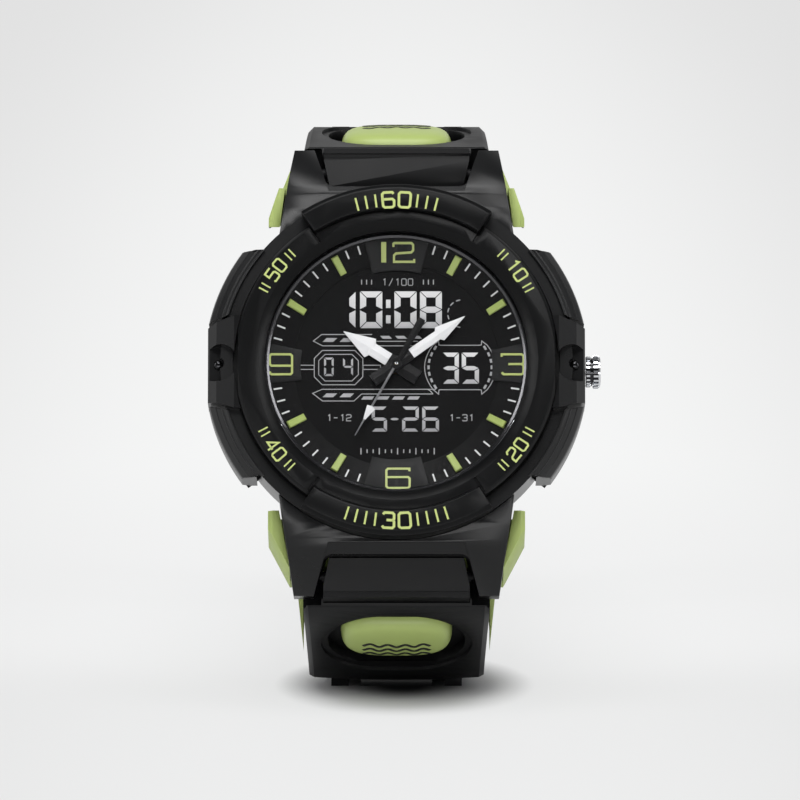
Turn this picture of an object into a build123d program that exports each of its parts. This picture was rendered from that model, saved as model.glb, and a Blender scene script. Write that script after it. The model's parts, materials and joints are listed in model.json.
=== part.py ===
from build123d import *
import math
import os

# Ana digi wristwatch: resin case with a printed bezel, liquid crystal display behind analogue hands,
# four long push buttons, a crown and a two-colour resin strap with a pin buckle.
# The watch is drawn lying flat, with +X to 3 o'clock, +Y to 12 o'clock, +Z out of the dial and its
# case back at z = 0. stand_up() then stands it on its open strap, leaning back. Millimetres.

# Stance
lean_angle = 18.0

# Fits
run_fit = 0.05
nest_gap = 0.05
overrun = 1.0

# Case middle
case_r = 23.8
case_top = 11.6
case_foot_chamfer = 1.4
cavity_r = 19.5
cavity_top = 9.2
dial_bore_r = 17.9
crystal_seat_z = 11.9
seat_wall_r = 20.9
seat_wall_top = 13.3
rim_groove_r = 22.1
rim_groove_z = 10.6

# Case back and its screws
back_r = 22.2
back_spigot_r = 19.4
back_spigot_height = 1.0
back_wall = 0.9
back_dish_r = 15.0
back_dish_depth = 0.3
back_gasket_width = 0.5
back_gasket_height = 0.45
back_gasket_r = 19.75
back_screw_circle_r = 20.8
back_screw_head_r = 0.85
back_screw_head_height = 0.55
back_screw_r = 0.45
back_screw_length = 4.0
back_screw_count = 4
back_screw_slot_depth = 0.25
back_screw_slot_width = 0.25

# Crystal and gasket
crystal_r = 18.9
crystal_thick = 1.4
crystal_gasket_width = 0.45

# Bezel ring
bezel_r = 21.8
bezel_in_r = 17.8
bezel_skirt_low = 11.3
bezel_crest_z = 14.4
bezel_shoulder_drop = 0.7
bezel_shoulder_width = 0.45
bezel_print_in_r = 19.1
bezel_lip_z = 13.45
bezel_notch_half = 6.2
bezel_notch_r = 21.35
bezel_groove_width = 0.5
bezel_groove_depth = 0.35

# Raised plates of the bezel
plate_in_r = 20.4
plate_out_r = 24.0
plate_half_angle = 33.0
plate_z = 15.3
plate_edge_drop = 0.5
plate_edge_width = 0.6
plate_skirt_low = 12.1
plate_bed_z = 13.6

# Side guard blocks
guard_in_r = 21.9
guard_out_x = 25.5
guard_half_in = 6.3
guard_half_out = 5.1
guard_low = 2.2
guard_top_in = 13.2
guard_top_out = 9.4
guard_edge_round = 0.6
guard_scoop_r = 2.5
guard_scoop_x = 23.95
guard_scoop_floor = 9.9
guard_pin_r = 0.65
guard_pin_head_z = 10.2
guard_pin_low = 7.6
guard_pin_bore = 0.7
guard_pin_dimple_r = 0.2
guard_pin_dimple_apart = 0.26

# Horn covers, each with a notch for the strap's end block
horn_root_half = 15.9
horn_end_half = 13.9
horn_root_y = 17.6
horn_end_y = 30.7
horn_root_z = 11.0
horn_knee_y = 23.6
horn_knee_z = 9.8
horn_end_z = 4.3
horn_low = -0.3
horn_toe_y = 28.6
horn_toe_z = 1.2
horn_seat_z = 0.9
horn_edge = 0.5
notch_y = 24.1
notch_in_half = 9.2
notch_out_half = 11.2

# Spring bars of the strap
bar_y = 27.8
bar_z = 2.2
bar_r = 0.75
bar_half = 10.1
bar_tip_r = 0.45
bar_tip = 2.4

# Push buttons: a long arc cap on a steel stem, with a return spring and a seal
button_angle = 27.0
button_in_r = 24.4
button_out_r = 26.0
button_end_y = 15.5
button_gap = 0.5
button_low = 3.6
button_top = 11.2
button_top_drop = 1.6
button_edge_round = 0.4
button_stem_z = 6.4
button_stem_r = 0.8
button_stem_end_r = 18.85
button_stem_sink = 0.8
button_clip_r = 1.3
button_clip_thick = 0.25
button_clip_from_wall = 0.05
button_well_r = 1.75
button_well_depth = 2.2
button_spring_wire = 0.3
button_seal_width = 0.5
button_seal_r = 1.2
button_seal_from_r = 20.2

# Crown, stem and setting yoke
crown_z = 4.4
crown_r = 2.3
crown_in_x = 25.65
crown_groove_x = 26.2
crown_ring_x = 26.6
crown_out_x = 27.7
crown_groove_r = 1.85
crown_edge = 0.25
crown_flute_count = 24
crown_flute_r = 0.17
stem_r = 0.5
stem_in_x = 12.6
stem_groove_x = 14.4
stem_groove_width = 0.5
stem_groove_r = 0.3
crown_seal_x = 22.4
crown_seal_width = 0.6
crown_seal_r = 1.0
yoke_half = 1.5
yoke_thick = 0.4
yoke_low = 2.6
yoke_high = 7.0
crown_pull_travel = 1.0

# Module: housing, board, display, battery, motor
module_r = 18.0
module_low = 2.6
module_high = 7.6
module_wall_r = 16.6
board_r = 16.3
board_thick = 0.7
board_low = 7.65
lcd_r = 15.6
lcd_thick = 1.4
lcd_top = 10.0
centre_bore_r = 1.0
cell_r = 4.75
cell_thick = 2.6
cell_x = -8.2
cell_y = -6.0
cell_gap = 0.1
clip_width = 3.0
clip_thick = 0.2
clip_reach = 6.3
motor_x = -1.0
motor_y = 9.5
coil_length = 9.0
coil_r = 1.3
core_thick = 0.8
core_width = 14.0
core_depth = 6.0
core_leg = 2.0
rotor_r = 1.3
rotor_gap = 0.2
rotor_thick = 1.2
yoke_slot_half = 1.9
yoke_slot_reach = 3.2

# Dial ring, rim, markers
chapter_in_r = 13.9
chapter_out_r = 17.5
chapter_in_z = 10.15
chapter_out_z = 11.45
chapter_low = 10.02
rim_in_r = 17.2
rim_out_r = 17.85
rim_low = 11.47
rim_top = 11.87
rim_bevel = 0.3
marker_in_r = 14.25
marker_out_r = 17.0
marker_width_out = 1.0
marker_width_in = 0.92
marker_height = 0.38
numeral_in_r = 12.96
numeral_out_r = 17.1
numeral_thick = 0.16
numeral_half_angle = 14.6
numeral_side_half_angle = 9.0

# Hands and their arbors, hands at 10:09:35
hour_hand_angle = 302.3
minute_hand_angle = 54.7
second_hand_angle = 209.7
hand_thick = 0.22
hour_hand_z = 10.42
minute_hand_z = 10.84
second_hand_z = 11.26
hand_hub_r = 1.25
second_hub_r = 0.75
second_cap_z = 11.72
hour_tip = 8.45
hour_barb = 4.2
hour_barb_half = 1.47
hour_neck_half = 0.88
hour_base_half = 1.0
hour_tail = 3.4
minute_tip = 11.3
minute_barb = 7.15
minute_barb_half = 1.08
minute_neck_half = 0.68
minute_base_half = 0.85
minute_tail = 3.9
barb_step = 0.35
second_tip = 11.3
second_half = 0.13
second_arrow_from = 6.85
second_arrow_to = 8.7
second_arrow_half = 0.63
second_tail = 7.05
second_weight_from = 3.6
second_weight_half = 0.42
second_arbor_r = 0.22
minute_tube_r = 0.5
hour_tube_r = 0.9
arbor_low = 3.0
minute_tube_low = 3.9
hour_tube_low = 4.9
wheel_thick = 0.35
second_wheel_r = 2.4
minute_wheel_r = 3.0
hour_wheel_r = 3.6
wheel_teeth = 24
tooth_share = 0.08

# Strap
strap_start_y = 31.2
strap_start_z = 2.4
strap_heading = 73.0
strap_half = 9.9
strap_thick = 4.2
strap_out_depth = 1.0
cover_length = 22.4
cover_start_half = 12.7
cover_end_half = 12.0
cover_wall = 1.8
cover_bow = 0.9
cover_edge_round = 0.7
window_width = 18.8
window_length = 14.6
window_from = 3.4
window_ledge = 0.9
inlay_width = 15.2
inlay_length = 10.4
inlay_from = 4.2
inlay_top_depth = 0.35
inlay_round = 1.1
liner_thick = 1.5
liner_root_half = 13.8
liner_low = -2.2
liner_front_y = 20.2
ear_out = 17.4
ear_front_y = 19.8
ear_upper_knee_y = 21.1
ear_upper_end_y = 25.2
ear_upper_end_half = 16.0
ear_knee_y = 25.6
ear_end_y = 30.6
ear_end_half = 14.5
ear_top_z = 5.6
block_r = 3.4
block_in_half = 8.8
block_out_half = 10.2
block_lip_y = 30.2
block_lip = 0.5
block_face_out_z = 4.7
pad_proud = 0.8
pad_in = 6.6
pad_out = 9.0
pad_mid = 4.9
pad_length = 3.6
pad_pitch = 6.6
pad_from = 23.4
pad_rows = 5
upper_run = 12.0
upper_bend = 40.0
upper_end_run = 20.0
floor_bend = 4.3
floor_run = 54.0
lower_bend = 42.0
lower_bend_angle = 98.0
lower_end_run = 8.0
strap_tip_round = 6.0
hole_r = 1.1
hole_pitch = 6.2
hole_from = 60.0
hole_count = 9
keeper_at = 77.5
keeper_length = 5.0
keeper_wall = 1.3
keeper_gap = 0.3
keeper_head = 4.6

# Buckle
buckle_bar_r = 0.75
buckle_bar_inset = 2.0
buckle_slot_half = 1.9
buckle_slot_length = 8.0
buckle_wire = 2.0
buckle_in_half = 10.4
buckle_reach = 11.3
buckle_corner_r = 2.4
buckle_thick = 2.4
tongue_half = 1.15
tongue_thick = 1.3
tongue_boss_r = 1.7
tongue_reach = 11.0

# Room for the strap to swing, and other small places
swing_low = -0.75
swing_toe_z = 0.7
strap_gap = 0.3
block_back_y = 24.6
block_knee_share = 0.65
block_knee_z = 4.85
liner_from = 1.9
liner_lip_end_half = 12.76
liner_lip_length = 12.0
liner_lip_drop = 2.2
ear_chamfer = 0.6
zebra_y = 11.0
zebra_length = 20.0
zebra_width = 1.6
centre_hole_r = 1.3
motor_z = 5.1
motor_room_margin = 0.4
wheel_room_top = 6.3
wall_gap = 0.1

# Worked out from the sizes above
bar_depth = strap_out_depth + strap_thick / 2
wheel_room_r = hour_wheel_r + wheel_thick
wall_out_r = dial_bore_r - wall_gap
case_low = back_wall
crystal_gasket_r = crystal_r + crystal_gasket_width
crystal_top = crystal_seat_z + crystal_thick
cover_state = (strap_start_y, strap_start_z, strap_heading)
floor_bend_angle = 90.0 + lean_angle - strap_heading
upper_bend_angle = 180.0 - lean_angle - strap_heading
upper_moves = [(cover_length, 0), (upper_run, 0), (upper_bend, upper_bend_angle), (upper_end_run, 0)]
lower_moves = [
    (cover_length, 0),
    (floor_bend, floor_bend_angle),
    (floor_run, 0),
    (lower_bend, lower_bend_angle),
    (lower_end_run, 0),
]
strap_in_depth = strap_out_depth + strap_thick
MIN = (Align.CENTER, Align.CENTER, Align.MIN)
MAX = (Align.CENTER, Align.CENTER, Align.MAX)
BACK = (Align.CENTER, Align.MIN, Align.CENTER)


def ring(outer_r, inner_r, low, high):
    """Flat ring about the dial axis."""
    return Pos(0, 0, low) * extrude(Circle(outer_r) - Circle(inner_r), high - low)


def disc(radius, low, high):
    """Flat disc about the dial axis."""
    return Pos(0, 0, low) * extrude(Circle(radius), high - low)


def turned(points, arc=360, start=0):
    """Outline of (radius, height) points turned about the dial axis, from a start angle."""
    return Rot(0, 0, start) * revolve(Plane.XZ * Polygon(*points, align=None), Axis.Z, arc)


def prism(points, low, high):
    """Outline in the dial plane carried from one height to another."""
    return extrude(Plane.XY.offset(low) * Polygon(*points, align=None), high - low, dir=(0, 0, 1))


def sink(face, depth):
    """Face of a level plane carried down by a depth."""
    return extrude(face, depth, dir=(0, 0, -1))


def side_prism(points, half):
    """Outline of (y, z) points carried the same way to both sides of the middle."""
    return extrude(Plane.YZ * Polygon(*points, align=None), half, both=True)


def rod(start, way, radius, length):
    """Round bar from a start point along a direction."""
    return Plane(origin=start, z_dir=way) * Cylinder(radius, length, align=MIN)


def polar(radius, angle, height=0):
    """Point at an angle from 3 o'clock, towards 12 o'clock."""
    turn = math.radians(angle)
    return (radius * math.cos(turn), radius * math.sin(turn), height)


def half_turn(shape):
    """A shape turned half round on the dial, from the 12 o'clock side to the 6 o'clock side."""
    return Rot(0, 0, 180) * shape


def four_ways(shape):
    """A shape in the upper right quarter and its three mirror images, by quarter name."""
    left = mirror(shape, about=Plane.YZ)
    return {
        "upper_right": shape,
        "upper_left": left,
        "lower_right": half_turn(left),
        "lower_left": half_turn(shape),
    }


def inward(heading):
    """Direction towards the wrist at a strap heading, as (y, z)."""
    turn = math.radians(heading)
    return (-math.sin(turn), -math.cos(turn))


def go(state, move):
    """Strap state (y, z, heading) after one move of (length, turn)."""
    y, z, heading = state
    length, turn = move
    if turn == 0:
        ahead = math.radians(heading)
        return (y + length * math.cos(ahead), z - length * math.sin(ahead), heading)
    radius = length / math.radians(turn)
    start = inward(heading)
    end = inward(heading + turn)
    return (y + radius * (start[0] - end[0]), z + radius * (start[1] - end[1]), heading + turn)


def place(state, depth):
    """Point at a depth under the strap's line, in space."""
    side = inward(state[2])
    return (0, state[0] + side[0] * depth, state[1] + side[1] * depth)


def stretch(moves, begin, end):
    """State at a distance along the strap and the moves from there to another distance."""
    state = cover_state
    passed = 0
    kept = []
    for length, turn in moves:
        low = max(begin - passed, 0)
        high = min(end - passed, length)
        if passed + length <= begin:
            state = go(state, (length, turn))
        elif high > low:
            if low > 0:
                state = go(state, (low, turn * low / length))
            kept.append((high - low, turn * (high - low) / length))
        passed += length
    return state, kept


def edge_line(state, moves, depth):
    """Edges of the line at one depth, in order."""
    edges = []
    for move in moves:
        after = go(state, move)
        if move[1] == 0:
            edges.append(Line(place(state, depth), place(after, depth)))
        else:
            half = go(state, (move[0] / 2, move[1] / 2))
            edges.append(ThreePointArc(place(state, depth), place(half, depth), place(after, depth)))
        state = after
    return edges


def band(moves, begin, end, top, bottom, half):
    """Solid between two depths along a stretch of strap, the same way to both sides."""
    state, kept = stretch(moves, begin, end)
    outer = edge_line(state, kept, top)
    inner = edge_line(state, kept, bottom)
    last = state
    for move in kept:
        last = go(last, move)
    start_cap = Line(place(state, top), place(state, bottom))
    end_cap = Line(place(last, top), place(last, bottom))
    face = make_face([*outer, end_cap, *inner, start_cap])
    return extrude(face, half, dir=(1, 0, 0), both=True)


def strap_plane(moves, along):
    """Plane on the strap's line: x across, y along the strap, z outwards."""
    state, kept = stretch(moves, along, along + overrun)
    side = inward(state[2])
    return Plane(origin=place(state, 0), x_dir=(1, 0, 0), z_dir=(0, -side[0], -side[1]))


def stand_up(shape, shift):
    """From lying flat to standing on the strap, leaning back."""
    return Pos(*shift) * Rot(90 - lean_angle, 0, 0) * shape


# Case middle


def case_outline():
    """Turned body of the case middle, with the rim that carries the bezel."""
    return turned(
        [
            (cavity_r, case_low),
            (case_r - case_foot_chamfer, case_low),
            (case_r, case_low + case_foot_chamfer),
            (case_r, case_top),
            (rim_groove_r, case_top),
            (rim_groove_r, rim_groove_z),
            (seat_wall_r, rim_groove_z),
            (seat_wall_r, seat_wall_top),
            (crystal_gasket_r + nest_gap, seat_wall_top),
            (crystal_gasket_r + nest_gap, crystal_seat_z),
            (dial_bore_r, crystal_seat_z),
            (dial_bore_r, cavity_top),
            (cavity_r, cavity_top),
        ]
    )


def make_case_middle():
    body = case_outline()
    way = polar(1, button_angle)
    bore = rod(polar(cavity_r - overrun, button_angle, button_stem_z), way, button_stem_r + run_fit, case_r)
    well = rod(
        polar(case_r - button_well_depth, button_angle, button_stem_z), way, button_well_r, case_r
    )
    seal_seat = rod(
        polar(button_seal_from_r, button_angle, button_stem_z), way, button_seal_r + nest_gap, button_seal_width
    )
    for cut in four_ways(bore + well + seal_seat).values():
        body -= cut
    body -= rod((cavity_r - overrun, 0, crown_z), (1, 0, 0), stem_r + run_fit, case_r)
    body -= rod((crown_seal_x, 0, crown_z), (1, 0, 0), crown_seal_r + nest_gap, crown_seal_width)
    body -= ring(
        back_gasket_r + back_gasket_width + nest_gap,
        back_gasket_r - nest_gap,
        case_low,
        case_low + back_gasket_height,
    )
    for index in range(back_screw_count):
        spot = polar(back_screw_circle_r, 45 + 360 / back_screw_count * index)
        body -= Pos(*spot) * Cylinder(back_screw_r, back_screw_length, align=MIN)
    for side in (-1, 1):
        body -= Pos(side * guard_scoop_x, 0, guard_pin_low) * Cylinder(guard_pin_bore, case_top, align=MIN)
    return body


def make_case_back():
    plate = disc(back_r, 0, back_wall)
    plate = chamfer(plate.edges().sort_by(Axis.Z)[0], back_dish_depth)
    plate += ring(back_spigot_r, back_spigot_r - back_wall, back_wall, back_wall + back_spigot_height)
    plate -= ring(back_dish_r, back_dish_r - back_wall, 0, back_dish_depth)
    for index in range(back_screw_count):
        spot = polar(back_screw_circle_r, 45 + 360 / back_screw_count * index)
        plate -= Pos(*spot) * Cylinder(back_screw_r + run_fit, back_wall, align=MIN)
        plate -= Pos(*spot) * Cylinder(back_screw_head_r + run_fit, back_screw_head_height, align=MIN)
    return plate


def make_back_screws():
    screws = []
    for index in range(back_screw_count):
        x, y, z = polar(back_screw_circle_r, 45 + 360 / back_screw_count * index)
        head = Cylinder(back_screw_head_r, back_screw_head_height, align=MIN)
        head -= Box(back_screw_head_r * 2, back_screw_slot_width, back_screw_slot_depth, align=MIN)
        head -= Box(back_screw_slot_width, back_screw_head_r * 2, back_screw_slot_depth, align=MIN)
        shank = Cylinder(back_screw_r, back_screw_length - nest_gap, align=MIN)
        shank -= Cylinder(back_screw_r, back_screw_slot_depth, align=MIN)
        screws.append(Pos(x, y, 0) * (head + shank))
    return Compound(children=screws)


def make_back_gasket():
    return ring(
        back_gasket_r + back_gasket_width, back_gasket_r, case_low, case_low + back_gasket_height - nest_gap
    )


# Crystal, bezel and plates


def make_crystal():
    glass = disc(crystal_r, crystal_seat_z, crystal_top)
    return chamfer(glass.edges().sort_by(Axis.Z)[-1], crystal_gasket_width / 2)


def make_crystal_gasket():
    return ring(crystal_gasket_r, crystal_r + nest_gap / 2, crystal_seat_z, crystal_top - nest_gap)


def make_bezel_ring():
    shoulder_z = bezel_crest_z - bezel_shoulder_drop
    body = turned(
        [
            (seat_wall_r + nest_gap, bezel_skirt_low),
            (bezel_r, bezel_skirt_low),
            (bezel_r, shoulder_z),
            (bezel_r - bezel_shoulder_width, bezel_crest_z),
            (bezel_print_in_r, bezel_crest_z),
            (bezel_in_r, bezel_lip_z),
            (bezel_in_r, crystal_top + nest_gap),
            (seat_wall_r + nest_gap, crystal_top + nest_gap),
        ]
    )
    gap_width = bezel_r - bezel_notch_r
    for side in (-1, 1):
        notch = Box(2 * gap_width, 2 * bezel_notch_half, bezel_crest_z, align=MIN)
        arc_keep = disc(bezel_notch_r, 0, bezel_crest_z)
        body -= Pos(side * bezel_r, 0, bezel_skirt_low - overrun) * notch - arc_keep
    for middle in (90, 270):
        start = middle - plate_half_angle
        body -= turned(
            [
                (plate_in_r, plate_bed_z),
                (plate_out_r + overrun, plate_bed_z),
                (plate_out_r + overrun, plate_z),
                (plate_in_r, plate_z),
            ],
            2 * plate_half_angle,
            start,
        )
        for edge in (start, start + 2 * plate_half_angle):
            groove = Box(bezel_r, bezel_groove_width, bezel_groove_depth + overrun, align=MIN)
            spot = Pos(bezel_print_in_r + bezel_r / 2, 0, bezel_crest_z - bezel_groove_depth)
            body -= Rot(0, 0, edge) * spot * groove
    return body


def make_bezel_plate():
    """Raised plate over the 12 o'clock side of the bezel, hooked over its edge."""
    plate = turned(
        [
            (plate_in_r + nest_gap, plate_bed_z),
            (bezel_r + nest_gap, plate_bed_z),
            (bezel_r + nest_gap, plate_skirt_low),
            (plate_out_r, plate_skirt_low),
            (plate_out_r, plate_z - plate_edge_drop),
            (plate_out_r - plate_edge_width, plate_z),
            (plate_in_r + plate_edge_width / 2, plate_z),
            (plate_in_r + nest_gap, plate_z - plate_edge_drop),
        ],
        2 * plate_half_angle - 1,
        90.5 - plate_half_angle,
    )
    return plate


# Side guards with their pins


def make_guard():
    """Block at 3 o'clock that covers the rim between two buttons."""
    outline = [
        (0, -guard_half_in),
        (guard_in_r, -guard_half_in),
        (guard_out_x, -guard_half_out),
        (guard_out_x, guard_half_out),
        (guard_in_r, guard_half_in),
        (0, guard_half_in),
    ]
    block = prism(outline, guard_low, guard_top_in)
    slope = Plane.XZ * Polygon(
        (guard_in_r, guard_top_in),
        (guard_out_x - guard_edge_round * 2, (guard_top_in + guard_top_out) / 2 + guard_edge_round),
        (guard_out_x, guard_top_out),
        (guard_out_x + overrun, guard_top_out),
        (guard_out_x + overrun, guard_top_in + overrun),
        (guard_in_r, guard_top_in + overrun),
        align=None,
    )
    block -= extrude(slope, 2 * guard_half_in, both=True)
    block -= disc(guard_in_r, 0, guard_top_in + overrun)
    block -= disc(case_r + nest_gap, 0, case_top + nest_gap)
    scoop = Cylinder(guard_scoop_r, guard_top_in, align=MIN)
    block -= Pos(guard_scoop_x, 0, guard_scoop_floor) * scoop
    block -= Pos(guard_scoop_x, 0, guard_pin_low) * Cylinder(guard_pin_bore, guard_top_in, align=MIN)
    return block


def make_guard_right():
    hole = rod((case_r - overrun, 0, crown_z), (1, 0, 0), stem_r + run_fit, case_r)
    return make_guard() - hole


def make_guard_pins():
    pin_height = guard_pin_head_z - guard_pin_low
    pin = Cylinder(guard_pin_r, pin_height, align=MIN)
    for side in (-1, 1):
        spot = Pos(0, side * guard_pin_dimple_apart, pin_height)
        pin -= spot * Sphere(guard_pin_dimple_r)
    pins = [Pos(side * guard_scoop_x, 0, guard_pin_low) * pin for side in (-1, 1)]
    return Compound(children=pins)


# Horn covers


def make_horn():
    """Cover over the 12 o'clock lugs, notched for the strap's end block."""
    plan = prism(
        [
            (-horn_root_half, 0),
            (-horn_root_half, horn_root_y),
            (-horn_end_half, horn_end_y),
            (horn_end_half, horn_end_y),
            (horn_root_half, horn_root_y),
            (horn_root_half, 0),
        ],
        horn_low,
        horn_root_z,
    )
    profile = side_prism(
        [
            (0, horn_seat_z),
            (notch_y - overrun, horn_seat_z),
            (notch_y, horn_low),
            (horn_toe_y, horn_low),
            (horn_end_y, horn_toe_z),
            (horn_end_y, horn_end_z),
            (horn_knee_y + (horn_end_y - horn_knee_y) / 2, (horn_knee_z + horn_end_z) / 2 + horn_edge * 2),
            (horn_knee_y, horn_knee_z),
            (horn_root_y, horn_root_z),
            (0, horn_root_z),
        ],
        horn_root_half,
    )
    horn = plan & profile
    horn -= disc(case_r + nest_gap, 0, horn_root_z)
    horn -= disc(case_r + nest_gap, horn_low - overrun, 0)
    notch = prism(
        [
            (-notch_in_half, notch_y),
            (notch_in_half, notch_y),
            (notch_out_half, horn_end_y),
            (notch_out_half, horn_end_y + overrun),
            (-notch_out_half, horn_end_y + overrun),
            (-notch_out_half, horn_end_y),
        ],
        horn_low - overrun,
        horn_root_z + overrun,
    )
    horn -= notch
    hole_half = bar_half + bar_tip + nest_gap
    horn -= rod((-hole_half, bar_y, bar_z), (1, 0, 0), bar_tip_r + nest_gap / 2, 2 * hole_half)
    solids = horn.solids().sort_by(SortBy.VOLUME)
    return solids[-1]


def make_spring_bars():
    bar = rod((-bar_half, bar_y, bar_z), (1, 0, 0), bar_r, 2 * bar_half)
    tip_half = bar_half + bar_tip
    bar += rod((-tip_half, bar_y, bar_z), (1, 0, 0), bar_tip_r, 2 * tip_half)
    return Compound(children=[half_turn(bar), bar])


# Push buttons, drawn in the upper right quarter


def guard_line(x):
    """Height in y of the guard's upper edge at a place across."""
    slope = (guard_half_in - guard_half_out) / (guard_out_x - guard_in_r)
    return guard_half_in - slope * (x - guard_in_r)


def make_button_cap():
    arc = turned(
        [
            (button_in_r, button_low),
            (button_out_r - button_edge_round * 2, button_low),
            (button_out_r, button_low + button_edge_round * 2),
            (button_out_r, button_top - button_top_drop),
            (button_out_r - button_edge_round, button_top - button_top_drop / 2),
            (button_out_r - button_edge_round * 2, button_top - button_edge_round / 2),
            (button_in_r + button_edge_round / 2, button_top),
            (button_in_r, button_top - button_edge_round / 2),
        ],
        90,
    )
    far = button_out_r + overrun
    wedge = prism(
        [
            (0, button_end_y),
            (far, button_end_y),
            (far, guard_line(far) + button_gap),
            (0, guard_line(0) + button_gap),
        ],
        0,
        button_top + overrun,
    )
    cap = arc & wedge
    socket = polar(button_in_r - overrun, button_angle, button_stem_z)
    return cap - rod(socket, polar(1, button_angle), button_stem_r + nest_gap / 2, overrun + button_stem_sink)


def make_button_stem():
    way = polar(1, button_angle)
    start = polar(button_stem_end_r, button_angle, button_stem_z)
    stem = rod(start, way, button_stem_r, button_in_r + button_stem_sink - button_stem_end_r)
    clip_at = cavity_r - 2 * button_clip_from_wall - button_clip_thick
    clip = rod(polar(clip_at, button_angle, button_stem_z), way, button_clip_r, button_clip_thick)
    return stem + clip


def make_button_spring():
    way = polar(1, button_angle)
    start = polar(case_r - button_well_depth, button_angle, button_stem_z)
    length = button_in_r - case_r + button_well_depth - nest_gap
    inner = button_stem_r + 2 * run_fit
    return rod(start, way, inner + button_spring_wire, length) - rod(start, way, inner, length)


def make_button_seal():
    way = polar(1, button_angle)
    start = polar(button_seal_from_r, button_angle, button_stem_z)
    return rod(start, way, button_seal_r, button_seal_width) - rod(
        start, way, button_stem_r + run_fit, button_seal_width
    )


# Crown, stem and setting yoke


def make_crown():
    crown = revolve(
        Polygon(
            (crown_in_x, 0),
            (crown_in_x, crown_r - crown_edge),
            (crown_in_x + crown_edge, crown_r),
            (crown_groove_x, crown_r),
            (crown_groove_x, crown_groove_r),
            (crown_ring_x, crown_groove_r),
            (crown_ring_x, crown_r),
            (crown_out_x - crown_edge, crown_r),
            (crown_out_x, crown_r - crown_edge * 2),
            (crown_out_x, 0),
            align=None,
        ),
        Axis.X,
    )
    for index in range(crown_flute_count):
        turn = 2 * math.pi * index / crown_flute_count
        start = (crown_in_x - overrun, crown_r * math.cos(turn), crown_r * math.sin(turn))
        crown -= rod(start, (1, 0, 0), crown_flute_r, crown_out_x)
    crown -= rod((crown_in_x - overrun, 0, 0), (1, 0, 0), stem_r, overrun + crown_edge * 4)
    return Pos(0, 0, crown_z) * crown


def make_crown_stem():
    stem = rod((stem_in_x, 0, crown_z), (1, 0, 0), stem_r, crown_in_x + crown_edge * 4 - stem_in_x)
    groove = rod((stem_groove_x, 0, crown_z), (1, 0, 0), stem_r + overrun, stem_groove_width)
    return stem - (groove - rod((stem_groove_x, 0, crown_z), (1, 0, 0), stem_groove_r, stem_groove_width))


def make_crown_seal():
    start = (crown_seal_x, 0, crown_z)
    return rod(start, (1, 0, 0), crown_seal_r, crown_seal_width) - rod(
        start, (1, 0, 0), stem_r + run_fit, crown_seal_width
    )


def make_setting_yoke():
    middle = stem_groove_x + stem_groove_width / 2
    height = yoke_high - yoke_low
    plate = Pos(middle, 0, yoke_low) * Box(yoke_thick, 2 * yoke_half, height, align=MIN)
    slot = Pos(middle, 0, crown_z - stem_groove_r - run_fit) * Box(
        yoke_thick, 2 * (stem_groove_r + run_fit), height, align=MIN
    )
    return plate - slot


# Module


def make_module_housing():
    body = disc(module_r, module_low, module_high)
    body += ring(wall_out_r, module_wall_r, module_high, lcd_top - nest_gap)
    body -= disc(centre_bore_r, module_low, module_high)
    body -= disc(wheel_room_r, arbor_low - nest_gap, wheel_room_top)
    cell_room = Cylinder(cell_r + cell_gap, cell_thick + cell_gap, align=MIN)
    body -= Pos(cell_x, cell_y, module_low) * cell_room
    room_depth = core_depth + 2 * motor_room_margin
    motor_room = Box(core_width + 2 * cell_gap, room_depth, 2 * coil_r + 2 * cell_gap, align=MIN)
    body -= Pos(motor_x, motor_y, motor_z - coil_r - cell_gap) * motor_room
    length = module_r - stem_in_x + overrun
    body -= rod((stem_in_x - nest_gap, 0, crown_z), (1, 0, 0), stem_r + run_fit, length)
    yoke_room = Box(yoke_slot_reach, 2 * yoke_slot_half, module_high - yoke_low + nest_gap, align=MIN)
    middle = stem_groove_x + (stem_groove_width + crown_pull_travel) / 2
    body -= Pos(middle, 0, yoke_low - nest_gap) * yoke_room
    return body


def make_circuit_board():
    board = disc(board_r, board_low, board_low + board_thick)
    board -= disc(centre_hole_r, board_low, board_low + board_thick)
    return board


def make_zebra_strips():
    low = board_low + board_thick
    strip = Pos(0, zebra_y, low) * Box(zebra_length, zebra_width, lcd_top - lcd_thick - low, align=MIN)
    return Compound(children=[strip, half_turn(strip)])


def make_lcd_panel():
    return ring(lcd_r, centre_hole_r, lcd_top - lcd_thick, lcd_top)


def make_coin_cell():
    return Pos(cell_x, cell_y, module_low + nest_gap) * chamfer(
        Cylinder(cell_r, cell_thick, align=MIN).edges().sort_by(Axis.Z)[-1], cell_gap * 2
    )


def make_battery_clip():
    strap = Box(2 * clip_reach, clip_width, clip_thick, align=MIN)
    return Pos(cell_x, cell_y, module_low - clip_thick) * strap


def make_motor_core():
    """Flat core: a bar through the coil and two legs that close round the rotor."""
    plan = Rectangle(core_width, core_depth)
    plan -= Pos(0, core_leg / 2) * Rectangle(core_width - 2 * core_leg, core_depth - 2 * core_leg)
    plan -= Pos(0, (core_leg - core_depth) / 2) * Circle(rotor_r + rotor_gap)
    plan -= Pos(0, (core_leg - core_depth) / 2) * Rectangle(rotor_gap, core_leg * 2)
    core = Pos(motor_x, motor_y, motor_z - core_thick / 2) * extrude(plan, core_thick)
    return core


def make_motor_coil():
    start = (motor_x - coil_length / 2, motor_y + (core_depth - core_leg) / 2, motor_z)
    coil = rod(start, (1, 0, 0), coil_r, coil_length)
    hole = Box(coil_length, core_leg, core_thick)
    return coil - Pos(motor_x, start[1], motor_z) * hole


def make_motor_rotor():
    spot = Pos(motor_x, motor_y + (core_leg - core_depth) / 2, motor_z - rotor_thick / 2)
    return spot * Cylinder(rotor_r, rotor_thick, align=MIN)


# Dial ring, rim and markers


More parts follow.
